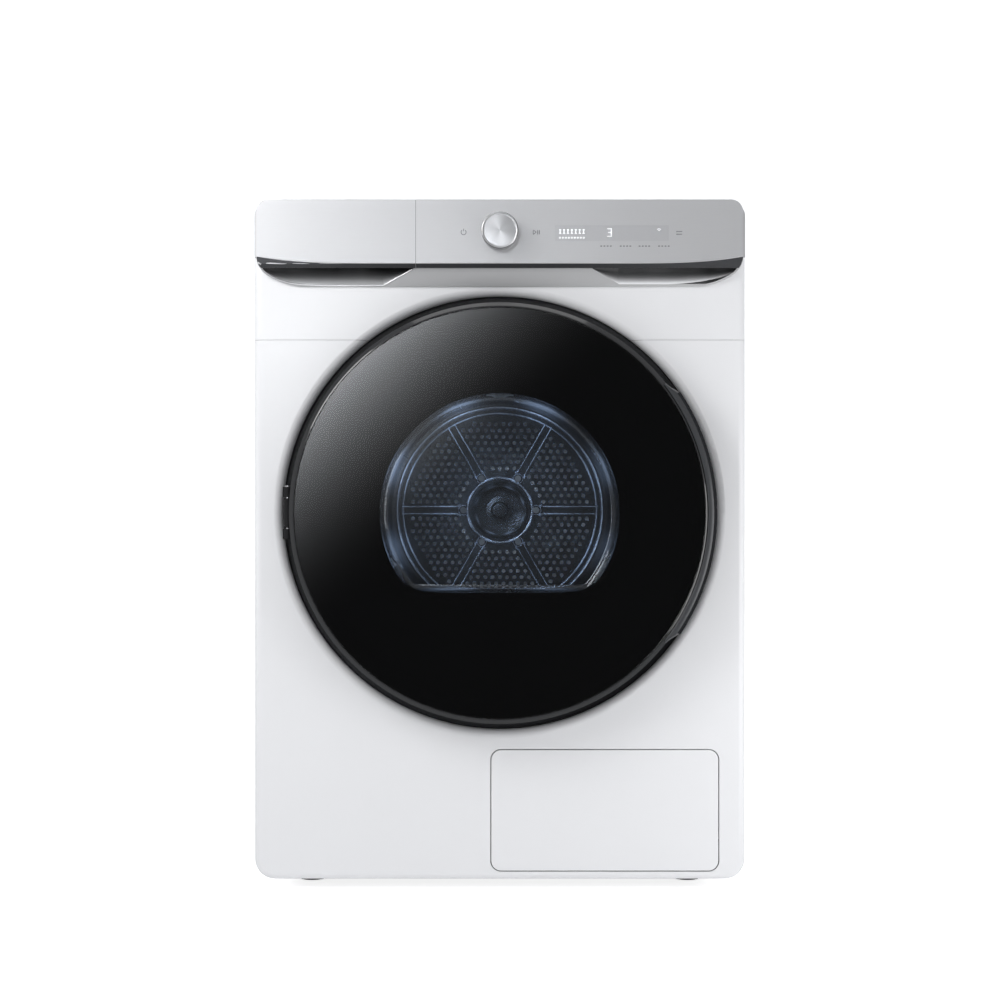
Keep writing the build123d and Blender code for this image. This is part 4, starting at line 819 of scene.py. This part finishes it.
    def build_hollows(self) -> None:
        """Both finger hollows, the lip bands of painted shade, and beads along the edges in a brighter copy of the
        brushed metal, a painted highlight.
        """
        x = self.half_width * -0.978 + (1 - np.cos(np.linspace(0, math.pi, 120))) / 2 * 207.0 * MM
        low = self.lower_edge(x) + self.rim
        keep = low < self.lip_bottom - 0.4 * MM
        self.scoop("drawer_grip_scoop", "tank_drawer", x[keep], low[keep], 0.75, 1.2, SHADED_SCOOP_LEFT)
        right = np.linspace(129.5, 331.0, 110) * MM
        low = self.right_edge(right)
        keep = low < self.lip_bottom - 0.3 * MM
        self.scoop("right_grip_scoop", "cabinet", right[keep], low[keep], 1.0, 2.4, SHADED_SCOOP_RIGHT)
        self.lip("drawer_lip_band", "tank_drawer", np.linspace(-336.2, -116.9, 110) * MM)
        self.lip("fascia_lip_band", "cabinet", np.linspace(-115.9, 336.2, 180) * MM)
        for name, body, x0, x1 in (
            ("drawer_lower_edge_line", "tank_drawer", -336.2, -117.0),
            ("fascia_lower_edge_line", "cabinet", -115.8, 336.2),
        ):
            x = np.linspace(x0, x1, 140) * MM
            path = np.stack([x, np.full_like(x, self.face_y), self.fascia_edge(x) + 0.35 * MM], axis=-1)
            self.shop.bead(name, path, 0.9 * MM, 0.4 * MM, EDGE_HIGHLIGHT, body, rounding=5)
        x = np.concatenate([np.linspace(-335.6, -300.0, 60), np.linspace(-299.0, -118.4, 90)]) * MM
        z = self.lower_edge(x) + 1.2 * MM
        keep = z < self.lip_bottom - 1.5 * MM
        x, z = x[keep], z[keep]
        path = np.stack([x, self.trim_y(z) - 0.05 * MM, z], axis=-1)
        self.shop.bead("drawer_rim_line", path, 1.5 * MM, 0.5 * MM, EDGE_HIGHLIGHT, "tank_drawer", rounding=5)

    def build_seam(self) -> None:
        """Dark strip in the joint between the drawer front and the fascia, set back from both faces."""
        z = np.linspace(self.lip_top, self.top - 0.4 * MM, 30)
        x = np.array([self.seam_x, self.seam_x + self.seam_width])
        points = np.stack(
            [np.tile(x, len(z)), np.full(2 * len(z), self.face_y + 0.5 * MM), np.repeat(z, 2)], axis=-1
        )
        self.shop.piece("drawer_joint_strip", points, grid_faces(len(z), 2), LIP_SHADE_AND_JOINT, "cabinet", facing=(0, -1, 0))

    def build_knob(self) -> None:
        """The knob: a profile turned about its axis, with a soft shoulder, a waist and a crowned cap.

        The shoulder is a quarter circle; the crown is a parabola that stands half a millimetre high.
        """
        radius, front = self.knob_radius / MM, self.knob_front / MM
        bend, cap_inset, crown_height, root = 1.6, 2.2, 0.5, -378.5
        corner = np.linspace(0.0, math.pi / 2, 7)
        shoulder = np.stack([front + bend - bend * np.sin(corner), radius - bend + bend * np.cos(corner)], axis=-1)
        cap = np.linspace(1.0, 0.0, 14)
        crown = np.stack([front + crown_height * cap ** 2, (radius - cap_inset) * cap], axis=-1)
        side = np.array([[root, radius - bend], [-380.0, radius - 0.9], [-386.0, radius - 0.5], [-398.0, radius - 0.1]])
        profile = np.concatenate([np.array([[root, 0.0]]), side, shoulder, crown]) * MM
        self.shop.turned("knob_shell", profile, 96, (self.knob_centre[0], 0.0, self.knob_centre[1]),
                         finish_of("spun_metal"), "selector_knob", sharp=50.0, replaces=("knob",))

    def mark(self, name: str, lines: Sequence[np.ndarray], width: float, finish: Finish, lift: float = 0.12) -> None:
        """A printed mark: flat ribbons of one width along lines in the fascia's plane.

        Args:
            name: the piece's name.
            lines: each an n by 2 array of x and z, in millimetres.
            width: width of the ribbon, in millimetres.
            finish: its finish.
            lift: how far it stands off the fascia, in millimetres.
        """
        all_points, all_faces, start = [], [], 0
        for line in lines:
            path = np.stack([line[:, 0], np.full(len(line), self.face_y / MM - lift), line[:, 1]], axis=-1)
            points = swept_points(path * MM, np.array([[-width / 2, 0.0], [width / 2, 0.0]]) * MM, (0, -1, 0))
            all_points.append(points)
            all_faces.append(grid_faces(len(line), 2) + start)
            start += len(points)
        self.shop.piece(name, np.concatenate(all_points), np.concatenate(all_faces), finish, "cabinet",
                        facing=(0, -1, 0), thickness=0.05 * MM)

    @staticmethod
    def arc(x: float, z: float, radius: float, start: float, stop: float, count: int = 28) -> np.ndarray:
        """Points of an arc in the fascia's plane, from one angle to another in degrees."""
        angle = np.radians(np.linspace(start, stop, count))
        return np.stack([x + radius * np.cos(angle), z + radius * np.sin(angle)], axis=-1)

    @staticmethod
    def run(*corners: tuple[float, float], count: int = 4) -> np.ndarray:
        """Points along straight runs between corners."""
        points = np.array(corners, float)
        share = np.linspace(0.0, len(points) - 1.0, count * (len(points) - 1) + 1)
        place = np.arange(len(points))
        return np.stack([np.interp(share, place, points[:, 0]), np.interp(share, place, points[:, 1])], axis=-1)

    def build_marks(self) -> None:
        """Touch-key icons on the fascia and plain bars in the display."""
        z = 916.6
        power = [self.arc(-50, z, 3.5, 125, 415), self.run((-50, z + 1.4), (-50, z + 4.9))]
        self.mark("power_icon", power, 1.0, PRINT_GREY)
        self.mark(
            "play_pause_icon",
            [self.run((46.2, z - 3), (46.2, z + 3), (50.6, z), (46.2, z - 3)), self.run((52.4, z - 3), (52.4, z + 3)),
             self.run((54.8, z - 3), (54.8, z + 3))],
            0.9, PRINT_GREY,
        )
        self.mark(
            "course_bars",
            [self.run((82.0 + 5.4 * i, row), (84.9 + 5.4 * i, row)) for i in range(7) for row in (919.8, 914.9)]
            + [self.run((83.4 + 5.4 * i, 914.9), (83.4 + 5.4 * i, 920.4)) for i in range(7)],
            1.1, DISPLAY_LIT, 0.1,
        )
        self.mark("course_note", [self.run((82.0 + 4.1 * i, 909.0), (84.3 + 4.1 * i, 909.0)) for i in range(9)],
                  2.0, DISPLAY_LIT, 0.1)
        digit = [self.run((148.6, 921.4), (154.2, 921.4), (154.2, 916.2), (154.2, 910.8), (148.6, 910.8)),
                 self.run((149.8, 916.2), (154.2, 916.2))]
        self.mark("cycle_digit", digit, 1.2, DISPLAY_LIT, 0.1)
        self.mark("link_icon", [self.arc(220.0, 917.6, 1.6, 45, 135, 8), self.arc(220.0, 917.6, 3.6, 45, 135, 10)],
                  0.9, DISPLAY_LIT, 0.1)
        labels = [self.run((x - 7.0 + 4.4 * i, 897.4), (x - 4.4 + 4.4 * i, 897.4))
                  for x in (146, 173, 199, 226) for i in range(4)]
        self.mark("option_labels", labels, 1.8, PRINT_FAINT)
        self.mark("side_label", [self.run((244.0, 917.6), (252.4, 917.6)), self.run((244.0, 913.8), (252.0, 913.8))],
                  1.5, PRINT_FAINT)

    def build(self) -> None:
        """Makes everything on the control panel."""
        self.build_hollows()
        self.build_seam()
        self.build_knob()
        self.build_marks()


# ---------------------------------------------------------------- door
@dataclass
class Door:
    """Printed glass with its window, and the side grip."""

    shop: Workshop
    centre: tuple[float, float, float] = DRUM_CENTRE
    glass_radius: float = 281.0 * MM
    glass_back: float = -409.3 * MM
    window_radius: float = 163.5 * MM
    window_drop: float = 108.6 * MM
    grip_angle: float = 33.0
    taper_angle: float = 5.0
    grip_foot: float = 284.2 * MM
    grip_ring: float = 288.4 * MM
    grip_stand: float = 8.0 * MM
    grip_front: float = -412.6 * MM
    grip_depth: float = 13.4 * MM

    def window_edge(self, angle: np.ndarray) -> np.ndarray:
        """Distance of the window's edge from the axis at each angle.

        The smaller of the circle and the flat line below the axis, joined by a smooth minimum that rounds
        the two corners.
        """
        down = np.maximum(-np.sin(angle), 1e-3)
        flat = self.window_drop / down
        sharpness = 14.0
        return (self.window_radius ** -sharpness + flat ** -sharpness) ** (-1.0 / sharpness)

    def build_print(self) -> None:
        """Black print just inside the back of the glass: a flat ring from the window's edge to the rim."""
        angle = full_turn(360)
        share = np.linspace(0.0, 1.0, 8)[:, None]
        inner = self.window_edge(angle)[None, :]
        radius = inner + (self.glass_radius - 0.6 * MM - inner) * share
        y = np.full(radius.shape, self.glass_back - 0.12 * MM)
        points = np.stack([radius * np.cos(angle), y, self.centre[2] + radius * np.sin(angle)], axis=-1)
        self.shop.piece("glass_print", points.reshape(-1, 3), grid_faces(len(share), len(angle), wrap_columns=True),
                        PRINT_BLACK, "door", facing=(0, -1, 0), thickness=0.05 * MM)

    def build_grip(self) -> None:
        """Side grip: a crowned band swept round the door's edge, tapering into the ring at both ends.

        The taper is a smooth step of the angle; the section is a quarter of a bulged ellipse.
        """
        limit = self.grip_angle + self.taper_angle
        angle = np.radians(np.linspace(-limit, limit, 181))
        reach = np.clip((limit - np.degrees(np.abs(angle))) / self.taper_angle, 0.0, 1.0)
        reach = reach * reach * (3 - 2 * reach)
        quarter = np.linspace(0.0, 1.0, 14)[:, None] * math.pi / 2
        swell = (self.grip_ring + self.grip_stand * reach - self.grip_foot)[None, :]
        radius = self.grip_foot + swell * np.sin(quarter) ** 0.9
        y = np.broadcast_to(self.grip_front + self.grip_depth * (1 - np.cos(quarter)) ** 1.5, radius.shape)
        points = np.stack([radius * np.cos(angle), y, self.centre[2] + radius * np.sin(angle)], axis=-1)
        self.shop.piece("door_grip_band", points.reshape(-1, 3), grid_faces(len(quarter), len(angle)), GRIP, "door",
                        facing=(1, -1, 0), thickness=0.6 * MM)

    def build(self) -> None:
        """Makes everything on the door."""
        self.build_print()
        self.build_grip()


# ---------------------------------------------------------------- drum
@dataclass
class Drum:
    """Pressed detail of the drum's back wall; its ridges, rims and beads are in a bright copy of the steel, a painted
    highlight.
    """

    shop: Workshop
    centre: tuple[float, float, float] = DRUM_CENTRE
    plate_front: float = 283.5 * MM
    pitch: float = 12.8 * MM
    hole_radius: float = 3.1 * MM
    first_row: float = 74.0 * MM
    reach: float = 161.0 * MM
    spoke_half_width: float = 14.0 * MM
    spoke_ends: tuple[float, float] = (70.0 * MM, 172.0 * MM)
    ridge_spread: float = 6.4 * MM
    bolt_circle: float = 64.2 * MM
    seat_radius: float = 8.4 * MM
    pip_circle: float = 27.0 * MM
    steel: Finish = field(default_factory=lambda: finish_of("drum_steel"))

    def hole_places(self) -> np.ndarray:
        """Centres of all punched holes, x and z from the axis.

        A triangular grid above the hub, cut to one sixth of the circle between two spokes, turned six times.
        """
        row, column = np.meshgrid(np.arange(20), np.arange(-12, 13), indexing="ij")
        z = self.first_row + row * self.pitch * math.sqrt(3) / 2
        x = (column + 0.5 * (row % 2)) * self.pitch
        edge = np.abs(z * 0.5 - np.abs(x) * math.cos(math.radians(30)))
        inside = (np.hypot(x, z) <= self.reach) & (np.abs(x) <= z * math.tan(math.radians(30)))
        keep = inside & (edge > self.spoke_half_width)
        sector = np.stack([x[keep], z[keep]], axis=-1)
        turns = np.radians(60.0 * np.arange(6))
        cos, sin = np.cos(turns), np.sin(turns)
        turn = np.stack([np.stack([cos, -sin], -1), np.stack([sin, cos], -1)], 1)
        return np.einsum("kij,nj->kni", turn, sector).reshape(-1, 2)

    def build_rims(self) -> None:
        """Raised lip of each punched hole: a low ring, turned in the hole's own axis."""
        profile = np.array([[0.1, 1.30], [-0.45, 1.19], [-0.60, 1.08], [-0.10, 1.01]])
        profile = np.stack([self.plate_front + profile[:, 0] * MM, profile[:, 1] * self.hole_radius], axis=-1)
        shape = turned_points(profile, full_turn(10), self.centre)
        places = self.hole_places()
        offsets = np.stack([places[:, 0], np.zeros(len(places)), places[:, 1]], axis=-1)
        points, faces = repeated(shape, grid_faces(4, 10, wrap_columns=True), offsets)
        self.shop.piece("drum_hole_lips", points, faces, PRESSED_HIGHLIGHT, "drum", facing=(0, -1, 0), sharp=180.0)

    def ring_bead(self, name: str, radius: float, width: float, height: float, base: float | None = None) -> None:
        """A pressed ring about the axis, half an ellipse in section."""
        section = half_round(width, height, 11)
        foot = self.plate_front if base is None else base
        profile = np.stack([foot - section[:, 1], radius + section[:, 0]], axis=-1)
        self.shop.turned(name, profile, 192, self.centre, PRESSED_HIGHLIGHT, "drum", facing=(0, -1, 0))

    def build_spokes(self) -> None:
        """Two rounded ridges along each spoke, and the hollow valley between them left flat."""
        for spoke in range(6):
            turn = math.radians(60.0 * spoke)
            along = np.array([math.cos(turn), 0.0, math.sin(turn)])
            across = np.array([-math.sin(turn), 0.0, math.cos(turn)])
            for side, mark in ((-1, "a"), (1, "b")):
                r = np.linspace(*self.spoke_ends, 40)
                spread = self.ridge_spread + 3.5 * MM * np.clip((78.0 * MM - r) / (8.0 * MM), 0.0, 1.0) ** 2
                path = np.array(self.centre) + r[:, None] * along + (side * spread)[:, None] * across
                path[:, 1] = self.plate_front
                self.shop.bead(f"drum_spoke_{spoke}{mark}", path, 4.4 * MM, 3.4 * MM, PRESSED_HIGHLIGHT, "drum")

    def build_bolt_seats(self) -> None:
        """A pressed ring round each of the six bolts."""
        angle = full_turn(32)
        for seat in range(6):
            turn = math.radians(60.0 * seat)
            x = self.bolt_circle * math.cos(turn) + self.seat_radius * np.cos(angle)
            z = self.centre[2] + self.bolt_circle * math.sin(turn) + self.seat_radius * np.sin(angle)
            path = np.stack([x, np.full_like(x, self.plate_front), z], axis=-1)
            self.shop.bead(f"drum_bolt_seat_{seat}", path, 2.0 * MM, 1.2 * MM, PRESSED_HIGHLIGHT, "drum",
                           closed=True, rounding=7)

    def build_hub(self) -> None:
        """Hub: a dished disc with a rolled edge, a raised boss and three small pips."""
        r = np.array([0, 6, 12.6, 13.6, 14.2, 16.0, 24.0, 34.0, 41.0, 44.5, 46.5, 48.2, 49.6, 50.2])
        y = np.array([-10.2, -10.2, -10.0, -9.2, -6.6, -5.4, -5.0, -5.2, -6.2, -7.6, -7.9, -7.0, -4.0, 0.0])
        fine = np.linspace(0.0, r[-1], 90)
        profile = np.stack([(self.plate_front / MM + np.interp(fine, r, y)) * MM, fine * MM], axis=-1)
        self.shop.turned("drum_hub_dish", profile, 144, self.centre, self.steel, "drum",
                         facing=(0, -1, 0), sharp=60.0)
        for pip, degrees in enumerate((0.0, 120.0, 240.0)):
            x = self.pip_circle * math.cos(math.radians(degrees))
            z = self.centre[2] + self.pip_circle * math.sin(math.radians(degrees))
            arc = np.linspace(0.0, math.pi / 2, 7)
            dome = np.stack([self.plate_front - (4.8 + 1.7 * np.cos(arc)) * MM, 2.6 * MM * np.sin(arc)], axis=-1)
            self.shop.turned(f"drum_hub_pip_{pip}", dome, 24, (x, 0.0, z), self.steel, "drum", facing=(0, -1, 0))

    def build(self) -> None:
        """Makes everything on the drum's back wall."""
        self.build_rims()
        self.ring_bead("drum_outer_bead", 181.0 * MM, 8.0 * MM, 5.2 * MM)
        self.ring_bead("drum_inner_bead", 170.5 * MM, 4.0 * MM, 1.8 * MM)
        self.ring_bead("drum_hub_bead", 57.0 * MM, 6.0 * MM, 2.4 * MM)
        self.build_spokes()
        self.build_bolt_seats()
        self.build_hub()


# ---------------------------------------------------------------- studio
@dataclass
class Studio:
    """Camera, lights, floor and the reflector card that the door's glass mirrors."""

    camera_place: tuple[float, float, float] = (0.0003, -2.755, 0.5464)
    lens: float = 61.9
    card_y: float = -5.2
    card_x: tuple[float, float] = (-1.0, 1.0)
    card_z: tuple[float, float] = (-0.9, 1.4)
    card_middle: float = 0.546
    corner_reach: float = 0.812
    floor_reach: float = 30.0
    lamp_count: int = 8
    lamp_circle: float = 0.245
    drum_back_y: float = 0.285

    def build_camera(self) -> None:
        """Level camera straight in front of the machine."""
        data = bpy.data.cameras.new("camera")
        data.lens = self.lens
        data.sensor_width = 36.0
        camera = bpy.data.objects.new("camera", data)
        camera.location = self.camera_place
        camera.rotation_euler = (math.radians(90.0), 0.0, 0.0)
        bpy.context.scene.collection.objects.link(camera)
        bpy.context.scene.camera = camera

    def area(self, name: str, place: Sequence[float], target: Sequence[float], size: float, power: float,
             colour: Colour = (1.0, 1.0, 1.0), glossy: bool = True) -> None:
        """A square soft light.

        Args:
            name: its name.
            place: where it stands.
            target: the point that it faces.
            size: side of the square.
            power: in watts.
            colour: its colour.
            glossy: show it in reflections.
        """
        data = bpy.data.lights.new(name, "AREA")
        data.size = size
        data.energy = power
        data.color = colour
        light = bpy.data.objects.new(name, data)
        light.location = place
        light.rotation_euler = (Vector(target) - Vector(place)).to_track_quat("-Z", "Y").to_euler()
        light.visible_camera = False
        light.visible_glossy = glossy
        bpy.context.scene.collection.objects.link(light)

    def build_world(self) -> None:
        """White surroundings, brighter to the eye than in what they light."""
        world = bpy.data.worlds.new("studio")
        world.use_nodes = True
        bpy.context.scene.world = world
        graph = Graph(world.node_tree)
        shade = world.node_tree.nodes["Background"]
        shade.inputs["Color"].default_value = (0.97, 0.98, 1.0, 1.0)
        graph.feed(shade.inputs["Strength"], graph.eye_strength(0.425, 0.72))

    def sheet(self, name: str, corners: Sequence[tuple[float, float, float]], colour: Colour, roughness: float,
              specular: float, glow: Colour) -> tuple[bpy.types.Object, Graph, bpy.types.Node]:
        """A flat self-lit sheet of the stage.

        Args:
            name: its name, and its material's.
            corners: its four corners, in order.
            colour: its base colour.
            roughness: its roughness.
            specular: its specular level.
            glow: colour of its own light.
        Returns:
            The object, its material's graph and its shader.
        """
        mesh = bpy.data.meshes.new(name)
        mesh.from_pydata(corners, [], [(0, 1, 2, 3)])
        sheet = bpy.data.objects.new(name, mesh)
        bpy.context.scene.collection.objects.link(sheet)
        material = bpy.data.materials.new(name)
        material.use_nodes = True
        shader = material.node_tree.nodes["Principled BSDF"]
        shader.inputs["Base Color"].default_value = (*colour, 1.0)
        shader.inputs["Roughness"].default_value = roughness
        shader.inputs["Specular IOR Level"].default_value = specular
        shader.inputs["Emission Color"].default_value = (*glow, 1.0)
        mesh.materials.append(material)
        return sheet, Graph(material.node_tree), shader

    def build_floor(self) -> None:
        """Wide pale floor, a little self-lit so that it fades into the surroundings."""
        reach = self.floor_reach
        corners = [(-reach, -reach, 0), (reach, -reach, 0), (reach, reach, 0), (-reach, reach, 0)]
        floor, graph, shader = self.sheet("floor", corners, (0.86, 0.86, 0.87), 0.8, 0.1, (1.0, 1.0, 1.0))
        graph.feed(shader.inputs["Emission Strength"], graph.eye_strength(0.24, 0.56))
        floor.visible_glossy = False
        floor.visible_transmission = False

    def build_card(self) -> None:
        """Black card behind the camera with a glow that grows towards its upper left corner.

        The camera and the lit surfaces don't see it: it keeps the glass dark and gives it one soft
        highlight. The glow is a power of the distance along the card's slanted axis.
        """
        (left, right), (low, high), y = self.card_x, self.card_z, self.card_y
        corners = [(left, y, low), (left, y, high), (right, y, high), (right, y, low)]
        card, graph, shader = self.sheet("reflector_card", corners, (0.004, 0.004, 0.005), 1.0, 0.0, (0.93, 0.96, 1.0))
        place = graph.add("ShaderNodeTexCoord").outputs["Object"]
        slant = graph.add("ShaderNodeVectorMath", operation="DOT_PRODUCT")
        graph.feed(slant.inputs[0], graph.scaled(place, (1, 1, 1), (0, 0, -self.card_middle)))
        slant.inputs[1].default_value = (-0.7, 0.0, 0.7)
        share = graph.maths("DIVIDE", slant.outputs["Value"], self.corner_reach)
        glow = graph.maths("MULTIPLY", graph.maths("POWER", graph.maths("MAXIMUM", share, 0.0), 4.2), 8.7)
        graph.feed(shader.inputs["Emission Strength"], graph.maths("ADD", graph.maths("MINIMUM", glow, 11.0), 0.10))
        card.visible_camera = False
        card.visible_diffuse = False
        card.visible_shadow = False

    def build_lights(self) -> None:
        """Key from the upper left, a weaker one low on the right, and a ring of small lamps in the drum."""
        self.area("key_upper_left", (-1.05, -1.25, 1.35), (-0.25, -0.35, 0.75), 0.8, 11.5)
        self.area("fill_low_right", (1.05, -1.0, 0.30), (0.30, -0.35, 0.36), 0.7, 4.6)
        self.area("top_soft", (0.0, 0.4, 2.8), (0.0, 0.0, 0.5), 2.2, 14.0)
        self.area("back_soft", (0.9, 3.2, 1.8), (0.0, 0.2, 0.5), 1.8, 20.0)
        step = 360.0 / self.lamp_count
        target = (0.0, self.drum_back_y, DRUM_CENTRE[2])
        for lamp in range(self.lamp_count):
            turn = math.radians(step * lamp + step / 2)
            place = (self.lamp_circle * math.cos(turn), 0.0, DRUM_CENTRE[2] + self.lamp_circle * math.sin(turn))
            power = 0.045 + 0.025 * math.cos(turn - math.radians(130.0))
            self.area(f"drum_lamp_{lamp}", place, target, 0.07, power, (0.72, 0.84, 1.0))

    def build(self) -> None:
        """Sets up everything that isn't the machine."""
        bpy.context.scene.view_settings.view_transform = "Standard"
        self.build_camera()
        self.build_world()
        self.build_floor()
        self.build_card()
        self.build_lights()


def main() -> None:
    """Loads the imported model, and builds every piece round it."""
    logging.basicConfig(level=logging.INFO, format="%(name)s: %(message)s")
    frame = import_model()
    shop = Workshop(frame)
    shop.dress()
    ControlPanel(shop).build()
    Door(shop).build()
    Drum(shop).build()
    Studio().build()
    LOG.info("%d new pieces", shop.count)


if __name__ == "__main__":
    main()
